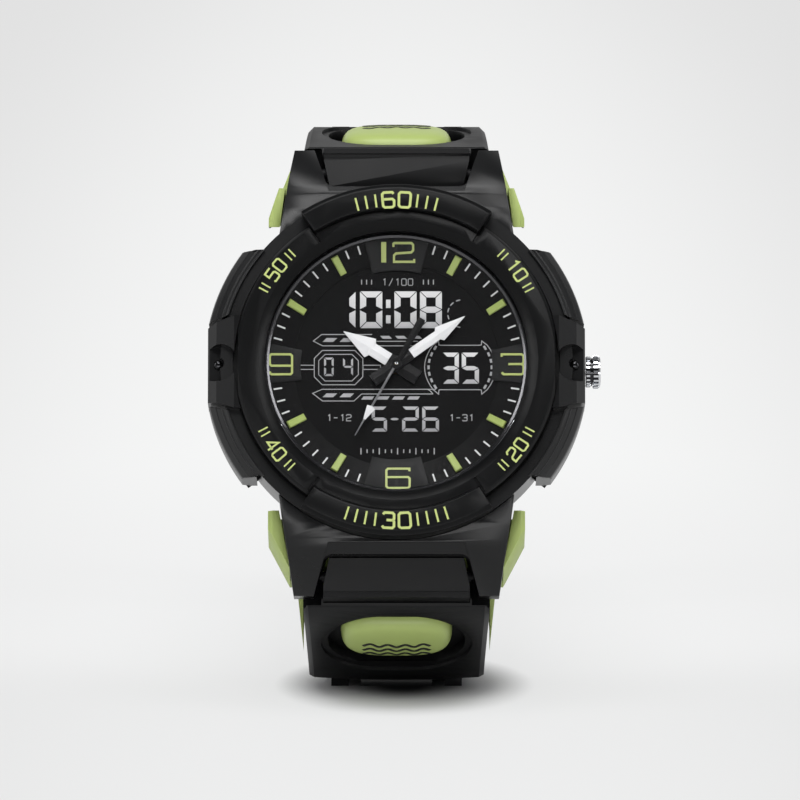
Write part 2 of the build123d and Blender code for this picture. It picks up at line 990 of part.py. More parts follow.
def slope_z(radius):
    """Height of the dial ring's slope at a radius."""
    rise = (chapter_out_z - chapter_in_z) / (chapter_out_r - chapter_in_r)
    return chapter_in_z + rise * (radius - chapter_in_r)


def make_chapter_ring():
    return turned(
        [
            (chapter_in_r, chapter_low),
            (wall_out_r, chapter_low),
            (wall_out_r, chapter_out_z),
            (chapter_out_r, chapter_out_z),
            (chapter_in_r, chapter_in_z),
        ]
    )


def make_dial_rim():
    return turned(
        [
            (rim_in_r + rim_bevel, rim_low),
            (rim_out_r, rim_low),
            (rim_out_r, rim_top),
            (rim_in_r + rim_bevel, rim_top),
            (rim_in_r, (rim_low + rim_top) / 2),
        ]
    )


def make_hour_markers():
    tilt = math.degrees(math.atan2(chapter_out_z - chapter_in_z, chapter_out_r - chapter_in_r))
    length = marker_out_r - marker_in_r
    middle = (marker_out_r + marker_in_r) / 2
    plan = Polygon(
        (-length / 2, -marker_width_in / 2),
        (length / 2, -marker_width_out / 2),
        (length / 2, marker_width_out / 2),
        (-length / 2, marker_width_in / 2),
        align=None,
    )
    block = extrude(plan, marker_height)
    block = chamfer(block.edges().group_by(Axis.Z)[-1], marker_height / 4)
    seated = Pos(middle, 0, slope_z(middle) + nest_gap / 2) * Rot(0, -tilt, 0) * block
    hours = [hour for hour in range(12) if hour % 3 != 0]
    return Compound(children=[Rot(0, 0, 90 - 30 * hour) * seated for hour in hours])


def make_numeral_plates():
    plates = []
    for hour in range(0, 12, 3):
        half = numeral_half_angle if hour % 6 == 0 else numeral_side_half_angle
        lift = nest_gap / 2
        profile = [
            (numeral_in_r, lcd_top + lift),
            (chapter_in_r - lift, lcd_top + lift),
            (chapter_in_r - lift, slope_z(chapter_in_r) + lift),
            (numeral_out_r, slope_z(numeral_out_r) + lift),
            (numeral_out_r, slope_z(numeral_out_r) + lift + numeral_thick),
            (chapter_in_r, slope_z(chapter_in_r) + lift + numeral_thick),
            (numeral_in_r, slope_z(chapter_in_r) + numeral_thick - lift),
        ]
        plates.append(turned(profile, 2 * half, 90 - 30 * hour - half))
    return Compound(children=plates)


# Hands, drawn pointing to 12 o'clock


def hand_at(outline, angle, height):
    """Flat hand of the right outline, mirrored to its left, set at a clock angle."""
    left = [(-x, y) for x, y in reversed(outline) if x > 0]
    return Rot(0, 0, -angle) * prism([*outline, *left], height, height + hand_thick)


def toothed(radius, low):
    """Small wheel with square teeth."""
    wheel = disc(radius, low, low + wheel_thick)
    depth = radius * tooth_share
    for index in range(wheel_teeth):
        gap = Box(2 * depth, depth, wheel_thick, align=MIN)
        wheel -= Rot(0, 0, 360 / wheel_teeth * index) * Pos(radius, 0, low) * gap
    return wheel


def make_hour_hand():
    outline = [
        (0, -hour_tail),
        (hour_base_half, -hour_tail),
        (hour_base_half, 0),
        (hour_neck_half, hour_barb - barb_step),
        (hour_barb_half, hour_barb),
        (0, hour_tip),
    ]
    top = hour_hand_z + hand_thick
    hand = hand_at(outline, hour_hand_angle, hour_hand_z) + disc(hand_hub_r, hour_hand_z, top)
    return hand - disc(hour_tube_r, hour_hand_z, top)


def make_minute_hand():
    outline = [
        (0, -minute_tail),
        (minute_base_half, -minute_tail),
        (minute_base_half, 0),
        (minute_neck_half, minute_barb - barb_step),
        (minute_barb_half, minute_barb),
        (0, minute_tip),
    ]
    top = minute_hand_z + hand_thick
    hand = hand_at(outline, minute_hand_angle, minute_hand_z) + disc(hand_hub_r, minute_hand_z, top)
    return hand - disc(minute_tube_r, minute_hand_z, top)


def make_second_hand():
    outline = [
        (0, -second_tail),
        (second_weight_half, -second_tail),
        (second_weight_half, -second_weight_from),
        (second_half, -second_weight_from),
        (second_half, second_arrow_from),
        (second_arrow_half, second_arrow_from),
        (second_half, second_arrow_to),
        (second_half, second_tip),
        (0, second_tip + second_half),
    ]
    hand = hand_at(outline, second_hand_angle, second_hand_z)
    hand += disc(second_hub_r, second_hand_z, second_cap_z)
    return hand - disc(second_arbor_r, second_hand_z, second_hand_z + hand_thick)


def make_second_arbor():
    arbor = disc(second_arbor_r, arbor_low, second_hand_z + hand_thick)
    return arbor + toothed(second_wheel_r, arbor_low + wheel_thick)


def make_minute_tube():
    tube = ring(minute_tube_r, second_arbor_r + run_fit, minute_tube_low, minute_hand_z + hand_thick)
    wheel = toothed(minute_wheel_r, minute_tube_low) - disc(minute_tube_r, minute_tube_low, hour_tube_low)
    return tube + wheel


def make_hour_tube():
    tube = ring(hour_tube_r, minute_tube_r + run_fit, hour_tube_low, hour_hand_z + hand_thick)
    wheel = toothed(hour_wheel_r, hour_tube_low) - disc(hour_tube_r, hour_tube_low, module_high)
    return tube + wheel


# Strap, drawn on the 12 o'clock side


def horn_room():
    """Space that the horns sweep past the strap as it swings out."""
    profile = [
        (0, swing_low),
        (bar_y, swing_low),
        (strap_start_y, swing_toe_z),
        (strap_start_y, horn_root_z),
        (0, horn_root_z),
    ]
    room = side_prism(profile, horn_root_half + strap_gap)
    plan = prism(
        [
            (-horn_root_half - strap_gap, 0),
            (-horn_root_half - strap_gap, horn_root_y),
            (-horn_end_half - strap_gap, strap_start_y + overrun),
            (horn_end_half + strap_gap, strap_start_y + overrun),
            (horn_root_half + strap_gap, horn_root_y),
            (horn_root_half + strap_gap, 0),
        ],
        swing_low - overrun,
        horn_root_z + overrun,
    )
    keep = prism(
        [
            (-block_in_half, notch_y),
            (block_in_half, notch_y),
            (block_out_half, horn_end_y),
            (block_out_half, strap_start_y + overrun),
            (-block_out_half, strap_start_y + overrun),
            (-block_out_half, horn_end_y),
        ],
        swing_low - overrun,
        horn_root_z + overrun,
    )
    return (room & plan) - keep


def make_strap_body(moves):
    """Black strap: end block on the spring bar, then the band with its raised pads."""
    total = sum(length for length, turn in moves)
    low_z = bar_z - math.sqrt(block_r**2 - (bar_y - block_back_y) ** 2)
    block = side_prism(
        [
            (block_back_y, low_z),
            (block_back_y, bar_z + (bar_z - low_z) / 2),
            (bar_y - block_r * block_knee_share, block_knee_z),
            (block_lip_y, block_face_out_z - block_lip),
            (block_lip_y, block_face_out_z),
            (strap_start_y - strap_gap, block_face_out_z),
            (strap_start_y - strap_gap, bar_z),
            (bar_y + block_r / 2, bar_z - block_r / 2),
            (bar_y, bar_z - block_r),
        ],
        strap_half,
    )
    body = block + band(moves, 0, total, cover_wall + nest_gap, strap_in_depth, strap_half)
    body += band(moves, cover_length + nest_gap, total, strap_out_depth, cover_wall + overrun, strap_half)
    for row in range(pad_rows):
        begin = pad_from + row * pad_pitch
        pads = band(moves, begin, begin + pad_length, -pad_proud, strap_out_depth, pad_out)
        gaps = band(moves, begin, begin + pad_length, -pad_proud, strap_out_depth, pad_in)
        middle = band(moves, begin, begin + pad_length, -pad_proud, strap_out_depth, pad_mid)
        body += pads - gaps + middle
    body -= horn_room()
    return body


def bar_bore():
    """Bore of the strap's end block for its spring bar."""
    half = block_out_half + overrun
    return rod((-half, bar_y, bar_z), (1, 0, 0), bar_r + run_fit, 2 * half)


def make_strap_12_body():
    body = make_strap_body(upper_moves)
    bar = buckle_plane() * Pos(0, 0, -bar_depth)
    body -= bar * Rot(0, 90, 0) * Cylinder(buckle_bar_r + run_fit, 4 * strap_half)
    slot = Box(2 * buckle_slot_half, buckle_slot_length * 2, 2 * strap_in_depth)
    body -= bar * Pos(0, buckle_bar_inset, 0) * slot
    return body - bar_bore()


def make_strap_6_body():
    total = sum(length for length, turn in lower_moves)
    body = make_strap_body(lower_moves)
    tip = strap_plane(lower_moves, total - strap_tip_round)
    corner = Rectangle(4 * strap_half, 2 * strap_tip_round, align=(Align.CENTER, Align.MIN))
    corner -= scale(Circle(strap_tip_round), (strap_half / strap_tip_round, 1, 1))
    body -= tip * Pos(0, 0, -2 * strap_in_depth) * extrude(corner, 3 * strap_in_depth)
    for index in range(hole_count):
        spot = strap_plane(lower_moves, hole_from + index * hole_pitch)
        hole = Cylinder(hole_r, strap_in_depth + 2 * overrun, align=MIN)
        body -= spot * Pos(0, 0, -strap_in_depth - overrun) * hole
    return body - bar_bore()


def cover_plan(start_half, end_half, begin, end, bow):
    """Outline across and along the straight top of the strap."""
    return make_face(
        [
            Line((-start_half, begin), (start_half, begin)),
            Line((start_half, begin), (end_half, end)),
            ThreePointArc((end_half, end), (0, end + bow), (-end_half, end)),
            Line((-end_half, end), (-start_half, begin)),
        ]
    )


def make_strap_cover():
    """Black cover over the strap's root, with an oval window."""
    top = Plane(origin=place(cover_state, 0), x_dir=(1, 0, 0), z_dir=cover_out())
    plan = cover_plan(cover_start_half, cover_end_half, 0, cover_length - cover_bow, cover_bow)
    shell = sink(plan, strap_in_depth)
    shell = chamfer(shell.faces().sort_by(Axis.Z)[-1].edges(), cover_edge_round)
    inside = Box(2 * (strap_half + nest_gap), 4 * cover_length, strap_in_depth, align=MAX)
    shell -= Pos(0, 0, -cover_wall) * inside
    middle = window_from + window_length / 2
    window = sink(SlotOverall(window_width, window_length), cover_wall)
    ledge = SlotOverall(window_width + 2 * window_ledge, window_length + 2 * window_ledge)
    window += sink(ledge, window_ledge / 2)
    shell -= Pos(0, middle, 0) * window
    edge_y = strap_start_y - strap_gap + nest_gap
    block_room = side_prism(
        [
            (0, horn_root_z),
            (edge_y, horn_root_z),
            (edge_y, bar_z - block_r / 2 - nest_gap),
            (0, bar_z - block_r / 2 - nest_gap),
        ],
        strap_half + nest_gap,
    )
    return top * shell - horn_room() - block_room


def make_strap_inlay():
    """Green domed pad seen through the cover's window."""
    top = Plane(origin=place(cover_state, 0), x_dir=(1, 0, 0), z_dir=cover_out())
    height = cover_wall - inlay_top_depth
    dome = extrude(SlotOverall(inlay_width, inlay_length), height)
    dome = fillet(dome.faces().sort_by(Axis.Z)[-1].edges(), inlay_round)
    return top * Pos(0, inlay_from + inlay_length / 2, -cover_wall) * dome


def make_strap_liner(upper):
    """Green layer against the wrist, with ears up both sides of the horns."""
    top = Plane(origin=place(cover_state, 0), x_dir=(1, 0, 0), z_dir=cover_out())
    end_half = cover_end_half - cover_edge_round
    sole = cover_plan(liner_root_half, end_half, liner_from, cover_length - cover_bow, cover_bow)
    liner = Pos(0, 0, -strap_in_depth - nest_gap) * sink(sole, liner_thick)
    lips = Polygon(
        (-liner_root_half, liner_from),
        (liner_root_half, liner_from),
        (liner_lip_end_half, liner_lip_length),
        (-liner_lip_end_half, liner_lip_length),
        align=None,
    )
    rim = sink(lips, strap_in_depth + nest_gap + liner_thick)
    rim -= Box(2 * (cover_start_half + nest_gap), 4 * liner_lip_length, 2 * (strap_in_depth + nest_gap))
    rim -= Pos(0, 0, -liner_lip_drop) * Box(4 * liner_root_half, 4 * cover_length, liner_lip_drop, align=MIN)
    liner = top * (liner + rim)
    knee_y = ear_upper_knee_y if upper else ear_knee_y
    end_y = ear_upper_end_y if upper else ear_end_y
    end_half = ear_upper_end_half if upper else ear_end_half
    wing_end = min(end_half, horn_end_half) if upper else end_half
    plate = prism(
        [
            (-ear_out, liner_front_y),
            (ear_out, liner_front_y),
            (ear_out, knee_y),
            (end_half, end_y),
            (wing_end, ear_end_y),
            (-wing_end, ear_end_y),
            (-end_half, end_y),
            (-ear_out, knee_y),
        ],
        liner_low,
        swing_low,
    )
    band_room = Box(2 * (cover_start_half + nest_gap), 2 * ear_end_y, 4 * ear_end_y, align=BACK)
    plate -= Pos(0, strap_back_y(swing_low), 0) * band_room
    ear = prism(
        [
            (horn_half(ear_front_y) + strap_gap, ear_front_y),
            (ear_out, ear_front_y),
            (ear_out, knee_y),
            (end_half, end_y),
            (horn_half(end_y) + strap_gap, end_y),
        ],
        liner_low,
        ear_top_z,
    )
    ear = chamfer(ear.faces().sort_by(Axis.Z)[-1].edges().sort_by(Axis.X)[-1], ear_chamfer)
    whole = liner + plate + ear + mirror(ear, about=Plane.YZ)
    return whole - horn_room()


def strap_back_y(z):
    """Place in y of the strap's wrist face at a height, along its straight start."""
    x, start_y, start_z = place(cover_state, strap_in_depth + nest_gap)
    return start_y + (start_z - z) / math.tan(math.radians(strap_heading))


def horn_half(y):
    """Half width of the horns at a height up the dial."""
    share = (y - horn_root_y) / (horn_end_y - horn_root_y)
    return horn_root_half + (horn_end_half - horn_root_half) * share


def cover_out():
    """Outward direction of the strap's cover."""
    side = inward(strap_heading)
    return (0, -side[0], -side[1])


# Buckle and keeper, at the end of the 12 o'clock strap


def buckle_plane():
    total = sum(length for length, turn in upper_moves)
    return strap_plane(upper_moves, total - buckle_bar_inset)


def make_buckle_frame():
    outer = RectangleRounded(2 * (buckle_in_half + buckle_wire), 2 * buckle_reach, buckle_corner_r)
    inner = Rectangle(2 * buckle_in_half, 2 * (buckle_reach - buckle_wire))
    behind = Pos(0, -buckle_reach - buckle_wire) * Rectangle(4 * buckle_reach, 2 * buckle_reach)
    frame = extrude(outer - inner - behind, buckle_thick / 2, both=True)
    frame -= Rot(0, 90, 0) * Cylinder(buckle_bar_r + run_fit, 4 * buckle_in_half)
    return buckle_plane() * Pos(0, 0, -bar_depth) * frame


def make_buckle_bar():
    bar = Rot(0, 90, 0) * Cylinder(buckle_bar_r, 2 * (buckle_in_half + buckle_wire))
    return buckle_plane() * Pos(0, 0, -bar_depth) * bar


def make_buckle_tongue():
    boss = Rot(0, 90, 0) * Cylinder(tongue_boss_r, 2 * tongue_half)
    blade_low = buckle_thick / 2 + nest_gap
    blade = Box(2 * tongue_half, tongue_reach, tongue_thick, align=MIN)
    tongue = boss + Pos(0, tongue_reach / 2, blade_low) * blade
    root = Box(2 * tongue_half, 2 * tongue_boss_r, blade_low + tongue_thick, align=MIN)
    tongue += Pos(0, tongue_boss_r / 2, 0) * root
    tongue -= Rot(0, 90, 0) * Cylinder(buckle_bar_r + run_fit, 4 * tongue_half)
    return buckle_plane() * Pos(0, 0, -bar_depth) * tongue


def make_keeper():
    """Loop round the strap, with room over it for the other half."""
    spot = strap_plane(upper_moves, keeper_at)
    inner_half = strap_half + keeper_gap
    low = -strap_in_depth - keeper_gap
    high = -strap_out_depth + keeper_head
    outer = Box(2 * (inner_half + keeper_wall), keeper_length, high - low + 2 * keeper_wall, align=MIN)
    outer = fillet(outer.edges().filter_by(Axis.Y), keeper_wall)
    inner = Box(2 * inner_half, 2 * keeper_length, high - low, align=MIN)
    return spot * (Pos(0, 0, low - keeper_wall) * outer - Pos(0, 0, low) * inner)


def build_parts():
    """Every sub-part, lying flat, by node name."""
    parts = {
        "case_middle": make_case_middle(),
        "case_back": make_case_back(),
        "case_back_screws": make_back_screws(),
        "case_back_gasket": make_back_gasket(),
        "crystal": make_crystal(),
        "crystal_gasket": make_crystal_gasket(),
        "bezel_ring": make_bezel_ring(),
        "bezel_plate_12": make_bezel_plate(),
        "bezel_plate_6": half_turn(make_bezel_plate()),
        "guard_left": mirror(make_guard(), about=Plane.YZ),
        "guard_right": make_guard_right(),
        "guard_pins": make_guard_pins(),
        "horn_cover_12": make_horn(),
        "horn_cover_6": half_turn(make_horn()),
        "spring_bars": make_spring_bars(),
        "module_housing": make_module_housing(),
        "circuit_board": make_circuit_board(),
        "zebra_strips": make_zebra_strips(),
        "lcd_panel": make_lcd_panel(),
        "coin_cell": make_coin_cell(),
        "battery_clip": make_battery_clip(),
        "motor_core": make_motor_core(),
        "motor_coil": make_motor_coil(),
        "motor_rotor": make_motor_rotor(),
        "chapter_ring": make_chapter_ring(),
        "dial_rim": make_dial_rim(),
        "hour_markers": make_hour_markers(),
        "numeral_plates": make_numeral_plates(),
        "hour_hand": make_hour_hand(),
        "hour_tube": make_hour_tube(),
        "minute_hand": make_minute_hand(),
        "minute_tube": make_minute_tube(),
        "second_hand": make_second_hand(),
        "second_arbor": make_second_arbor(),
        "crown": make_crown(),
        "crown_stem": make_crown_stem(),
        "crown_seal": make_crown_seal(),
        "setting_yoke": make_setting_yoke(),
        "strap_12_body": make_strap_12_body(),
        "strap_12_cover": make_strap_cover(),
        "strap_12_inlay": make_strap_inlay(),
        "strap_12_liner": make_strap_liner(True),
        "strap_6_body": half_turn(make_strap_6_body()),
        "strap_6_cover": half_turn(make_strap_cover()),
        "strap_6_inlay": half_turn(make_strap_inlay()),
        "strap_6_liner": half_turn(make_strap_liner(False)),
        "strap_keeper": make_keeper(),
        "buckle_bar": make_buckle_bar(),
        "buckle_frame": make_buckle_frame(),
        "buckle_tongue": make_buckle_tongue(),
    }
    for quarter, shape in four_ways(make_button_cap()).items():
        parts["button_" + quarter] = shape
    for quarter, shape in four_ways(make_button_stem()).items():
        parts["button_stem_" + quarter] = shape
    seals = four_ways(make_button_seal())
    parts["button_seals"] = Compound(children=list(seals.values()))
    springs = four_ways(make_button_spring())
    parts["button_springs"] = Compound(children=list(springs.values()))
    return parts


def standing_shift(parts):
    """Move that puts the standing watch's lowest point at z = 0, centred on its box."""
    boxes = [stand_up(shape, (0, 0, 0)).bounding_box() for shape in parts.values()]
    low = [min(axis) for axis in zip(*(tuple(box.min) for box in boxes))]
    high = [max(axis) for axis in zip(*(tuple(box.max) for box in boxes))]
    return (-(low[0] + high[0]) / 2, -(low[1] + high[1]) / 2, -low[2])


def main():
    os.makedirs("parts", exist_ok=True)
    parts = build_parts()
    shift = standing_shift(parts)
    for name, shape in parts.items():
        export_step(stand_up(shape, shift), "parts/" + name + ".step")
    print(len(parts), "nodes, moved by", [round(value, 3) for value in shift])


main()
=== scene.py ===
import json
import math

import bmesh
import bpy
from mathutils import Matrix, Vector


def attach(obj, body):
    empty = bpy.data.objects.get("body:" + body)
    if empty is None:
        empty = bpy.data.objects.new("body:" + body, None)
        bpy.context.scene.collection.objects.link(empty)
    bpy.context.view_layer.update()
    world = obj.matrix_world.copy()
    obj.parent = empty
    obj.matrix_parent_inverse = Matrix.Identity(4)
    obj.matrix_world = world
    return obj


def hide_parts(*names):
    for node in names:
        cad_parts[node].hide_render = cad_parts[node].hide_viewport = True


# Looks of the ana digi watch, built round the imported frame. Local sizes are millimetres in the watch's
# own frame: +X to 3 o'clock, +Y to 12 o'clock, +Z out of the dial, case back at z = 0.

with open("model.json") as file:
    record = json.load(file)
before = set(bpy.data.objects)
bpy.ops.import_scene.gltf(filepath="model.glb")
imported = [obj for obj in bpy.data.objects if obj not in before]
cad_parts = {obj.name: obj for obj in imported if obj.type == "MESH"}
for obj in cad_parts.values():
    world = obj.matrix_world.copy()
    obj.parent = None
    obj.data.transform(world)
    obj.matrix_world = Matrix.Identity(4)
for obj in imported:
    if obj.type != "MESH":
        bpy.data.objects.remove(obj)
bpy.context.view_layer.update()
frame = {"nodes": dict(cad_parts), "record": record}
nodes = frame["nodes"]
record = frame["record"]
scene = bpy.context.scene

# The case back's centre and normal place the watch's own frame in the row's frame
case_back = next(m for m in record["mounts"] if m["name"] == "case_back_face")
across = Vector((1, 0, 0))
out_of_dial = -Vector(case_back["axis"]).normalized()
to_noon = out_of_dial.cross(across)
watch_to_row = Matrix.Translation(case_back["pos_m"]) @ (
    Matrix((across, to_noon, out_of_dial)).transposed().to_4x4() @ Matrix.Scale(0.001, 4)
)
row_to_watch = watch_to_row.inverted()

# Photograph: its scale at the dial, the dial's centre in pixels and the dial's tilt to the view
PIXEL = 0.135
PHOTO_CENTRE = (396.5, 363.6)
PHOTO_SIZE = 800
DIAL_Z = 11.2
VIEW_TILT = math.radians(9.5)

# Heights on the watch
LCD_Z = 10.0
BEZEL_Z = 14.4
PLATE_Z = 15.3
CHAPTER_IN = (13.9, 10.15)
CHAPTER_OUT = (17.5, 11.45)
PRINT_LIFT = 0.012
PRINT_THICK = 0.02


def on_dial(px, py, z=LCD_Z):
    """Point of the watch at a height that shows at a pixel of the photograph."""
    x = (px - PHOTO_CENTRE[0]) * PIXEL
    y = ((PHOTO_CENTRE[1] - py) * PIXEL - (z - DIAL_Z) * math.sin(VIEW_TILT)) / math.cos(VIEW_TILT)
    return (x, y)


def slope(a, b):
    return (b[1] - a[1]) / (b[0] - a[0])


def chapter_z(radius):
    """Height of the dial ring's slope at a radius."""
    return CHAPTER_IN[1] + slope(CHAPTER_IN, CHAPTER_OUT) * (radius - CHAPTER_IN[0])


def polar(radius, degrees):
    """Point at a radius and at degrees from 3 o'clock."""
    turn = math.radians(degrees)
    return (radius * math.cos(turn), radius * math.sin(turn))


def circle(radius, steps):
    return [polar(radius, 360 * i / steps) for i in range(steps)]


# Materials

RESIN_SLOW = 120
RESIN_GRAIN = 9000
RESIN_BUMP = 0.00005
RESIN_GLOSS = 0.06
BEZEL_GLOSS = 0.05
METAL_SLOW = 300
BRUSH_GRAIN = 4000
BRUSH_BUMP = 0.00002


def add_node(beside, kind, output, inputs=None, **settings):
    """Output of a new shader node beside another one. Inputs are values, or sockets that feed them."""
    tree = beside.id_data
    node = tree.nodes.new("ShaderNode" + kind)
    for key, value in settings.items():
        setattr(node, key, value)
    for key, value in (inputs or {}).items():
        if isinstance(value, bpy.types.NodeSocket):
            tree.links.new(value, node.inputs[key])
        else:
            node.inputs[key].default_value = value
    return node.outputs[output]


def feed(source, node, name):
    source.id_data.links.new(source, node.inputs[name])


def vector_math(operation, first, second=(0, 0, 0), output="Vector"):
    return add_node(first, "VectorMath", output, {0: first, 1: second}, operation=operation)


def length_of(vector):
    return vector_math("LENGTH", vector, output="Value")


def number_math(operation, first, second):
    return add_node(first, "Math", "Value", {0: first, 1: second}, operation=operation)


def noise_on(beside, scale, detail=2.0, stretch=(1, 1, 1)):
    """Noise over the piece's own place, in metres."""
    place = add_node(beside, "TexCoord", "Object")
    mapping = add_node(beside, "Mapping", "Vector", {"Vector": place, "Scale": stretch})
    return add_node(beside, "TexNoise", "Fac", {"Vector": mapping, "Scale": scale, "Detail": detail})


def ranged(source, low, high, start=0.0, end=1.0, way="LINEAR"):
    """A value carried from one range, 0 to 1 where none is given, into another."""
    inputs = {"Value": source, "From Min": start, "From Max": end, "To Min": low, "To Max": high}
    return add_node(source, "MapRange", "Result", inputs, interpolation_type=way)


def mixed_color(factor, low, high):
    return add_node(factor, "Mix", 2, {"Factor": factor, 6: (*low, 1), 7: (*high, 1)}, data_type="RGBA")


def principled(name, color, roughness, metallic=0.0, specular=0.5):
    material = bpy.data.materials.new(name)
    material.use_nodes = True
    shader = material.node_tree.nodes["Principled BSDF"]
    shader.inputs["Base Color"].default_value = (*color, 1)
    shader.inputs["Roughness"].default_value = roughness
    shader.inputs["Metallic"].default_value = metallic
    shader.inputs["Specular IOR Level"].default_value = specular
    return material, shader


def vary_tone(shader, factor, low, high):
    feed(mixed_color(factor, low, high), shader, "Base Color")


def vary_gloss(shader, factor, low, high):
    feed(ranged(factor, low, high), shader, "Roughness")


def add_bump(shader, height, strength, distance):
    inputs = {"Height": height, "Strength": strength, "Distance": distance}
    feed(add_node(shader, "Bump", "Normal", inputs), shader, "Normal")


def moulded(name, color, roughness, bump=0.06, shade=0.12, specular=0.5):
    """Moulded resin: a fine grain in its bump, with slow changes in tone and gloss."""
    material, shader = principled(name, color, roughness, specular=specular)
    slow = noise_on(shader, RESIN_SLOW, 3.0)
    vary_tone(shader, slow, [c * (1 - shade) for c in color], [min(c * (1 + shade), 1) for c in color])
    vary_gloss(shader, slow, roughness - RESIN_GLOSS, roughness + RESIN_GLOSS)
    add_bump(shader, noise_on(shader, RESIN_GRAIN), bump, RESIN_BUMP)
    return material


def circular(name, color, roughness, bump):
    """Black resin with fine circular brushing about the dial's axis."""
    material, shader = principled(name, color, roughness, specular=0.12)
    place = add_node(shader, "TexCoord", "Object")
    out = vector_math("SUBTRACT", place, case_back["pos_m"])
    radius = length_of(vector_math("CROSS_PRODUCT", out, out_of_dial))
    inputs = {"W": radius, "Scale": RESIN_GRAIN, "Detail": 2}
    add_bump(shader, add_node(shader, "TexNoise", "Fac", inputs, noise_dimensions="1D"), bump, BRUSH_BUMP)
    vary_gloss(shader, noise_on(shader, RESIN_SLOW, 3.0), roughness - BEZEL_GLOSS, roughness + BEZEL_GLOSS)
    return material


def metal(name, color, roughness, brush=0.0, direction=(1, 1, 1), spread=0.05):
    """Metal with slow changes in gloss and, where asked, fine brushing along one direction."""
    material, shader = principled(name, color, roughness, metallic=1.0)
    slow = noise_on(shader, METAL_SLOW, 3.0, direction)
    vary_gloss(shader, slow, max(roughness - spread, 0.02), roughness + spread)
    if brush > 0:
        add_bump(shader, noise_on(shader, BRUSH_GRAIN, 2.0, direction), brush, BRUSH_BUMP)
    return material


def painted(name, low, high, roughness, scale=600, specular=0.4):
    """Paint or print with a slight unevenness in tone."""
    material, shader = principled(name, low, roughness, specular=specular)
    vary_tone(shader, noise_on(shader, scale), low, high)
    return material


def segment_silver(name, low, high):
    """Display segments, darker at their foot and lighter at their top: painted shade and painted highlight.
    """
    material, shader = principled(name, low, 0.45, specular=0.3)
    # Painted highlight at the top and painted shade at the foot, by height in each piece's box
    place = add_node(shader, "TexCoord", "Generated")
    vary_tone(shader, add_node(shader, "SeparateXYZ", "Z", {"Vector": place}), low, high)
    return material


def clear_crystal():
    material, shader = principled("crystal_clear", (0.01, 0.01, 0.01), 0.04)
    shader.inputs["Alpha"].default_value = 0.04
    vary_gloss(shader, noise_on(shader, 90), 0.03, 0.07)
    return material


LIME = (0.34, 0.42, 0.130)

looks = {
    "case": moulded("case_black_resin", (0.0044, 0.0045, 0.0048), 0.29, bump=0.05, specular=0.28),
    "guard": moulded("guard_black_resin", (0.0040, 0.0041, 0.0044), 0.30, bump=0.05, specular=0.14),
    "bezel": circular("bezel_black_resin", (0.0032, 0.0033, 0.0035), 0.32, 0.35),
    "button": moulded("button_satin_resin", (0.0060, 0.0061, 0.0064), 0.34, bump=0.10, specular=0.34),
    "strap": moulded("strap_black_resin", (0.0046, 0.0047, 0.0050), 0.42, bump=0.08, specular=0.17),
    "green": moulded("lime_resin", LIME, 0.50, bump=0.10, shade=0.06, specular=0.30),
    "dome": moulded("lime_dome_resin", LIME, 0.36, bump=0.04, shade=0.04, specular=0.40),
    "seal": moulded("black_seal_rubber", (0.01, 0.01, 0.01), 0.7, bump=0.1),
    "steel": metal("brushed_steel", (0.58, 0.585, 0.60), 0.30, brush=0.25, direction=(0.1, 2, 2)),
    "chrome": metal("polished_crown", (0.66, 0.67, 0.69), 0.12),
    "rim": metal("polished_dial_rim", (0.10, 0.10, 0.105), 0.16),
    "pin": metal("black_plated_pin", (0.035, 0.035, 0.037), 0.12, spread=0.03),
    "crystal": clear_crystal(),
    "lcd": painted("display_black_glass", (0.0034, 0.0035, 0.0037), (0.0040, 0.0041, 0.0043), 0.35,
                   specular=0.10),
    "chapter": moulded("dial_ring_black", (0.0040, 0.0041, 0.0043), 0.5, bump=0.05, specular=0.10),
    "plate": moulded("numeral_plate_grey", (0.0135, 0.0138, 0.0142), 0.45, bump=0.05, specular=0.15),
    "marker": moulded("marker_lime", (0.30, 0.375, 0.10), 0.42, bump=0.03, shade=0.05),
    "white": painted("white_hand_paint", (0.60, 0.605, 0.615), (0.68, 0.68, 0.69), 0.32),
    "hand_black": painted("black_hand_paint", (0.0065, 0.0065, 0.007), (0.009, 0.009, 0.0095), 0.30,
                          specular=0.2),
    "hand_grey": metal("grey_hand_metal", (0.28, 0.28, 0.29), 0.30),
    # Spring bars coloured black as painted shade, where they sit in the shadow of the notch
    "bar": moulded("spring_bar_painted_shade", (0.008, 0.008, 0.009), 0.5, specular=0.2),
    "dark": moulded("black_groove_resin", (0.004, 0.004, 0.004), 0.6, specular=0.2),
    "print_lime": painted("lime_print", (0.37, 0.43, 0.135), (0.41, 0.47, 0.16), 0.45),
    "print_white": painted("white_print", (0.56, 0.57, 0.57), (0.64, 0.64, 0.64), 0.45),
    "print_black": painted("black_print", (0.006, 0.006, 0.006), (0.010, 0.010, 0.010), 0.5),
    "silver": segment_silver("display_segments", (0.36, 0.36, 0.37), (0.66, 0.66, 0.66)),
    "silver_dim": segment_silver("display_segments_dim", (0.26, 0.26, 0.27), (0.42, 0.42, 0.43)),
    "line": painted("display_lines", (0.30, 0.30, 0.31), (0.37, 0.37, 0.38), 0.4),
    "brass": metal("turned_brass", (0.70, 0.52, 0.22), 0.30, brush=0.1),
    "module": moulded("module_black_plastic", (0.02, 0.02, 0.022), 0.5),
    "board": painted("board_green", (0.015, 0.09, 0.035), (0.02, 0.11, 0.045), 0.35),
    "zebra": painted("zebra_elastomer", (0.55, 0.40, 0.42), (0.62, 0.50, 0.52), 0.6, scale=3000),
    "copper": metal("copper_winding", (0.70, 0.32, 0.16), 0.35, brush=0.3, direction=(4, 0.2, 4)),
}

CORNERS = ["upper_right", "lower_right", "upper_left", "lower_left"]

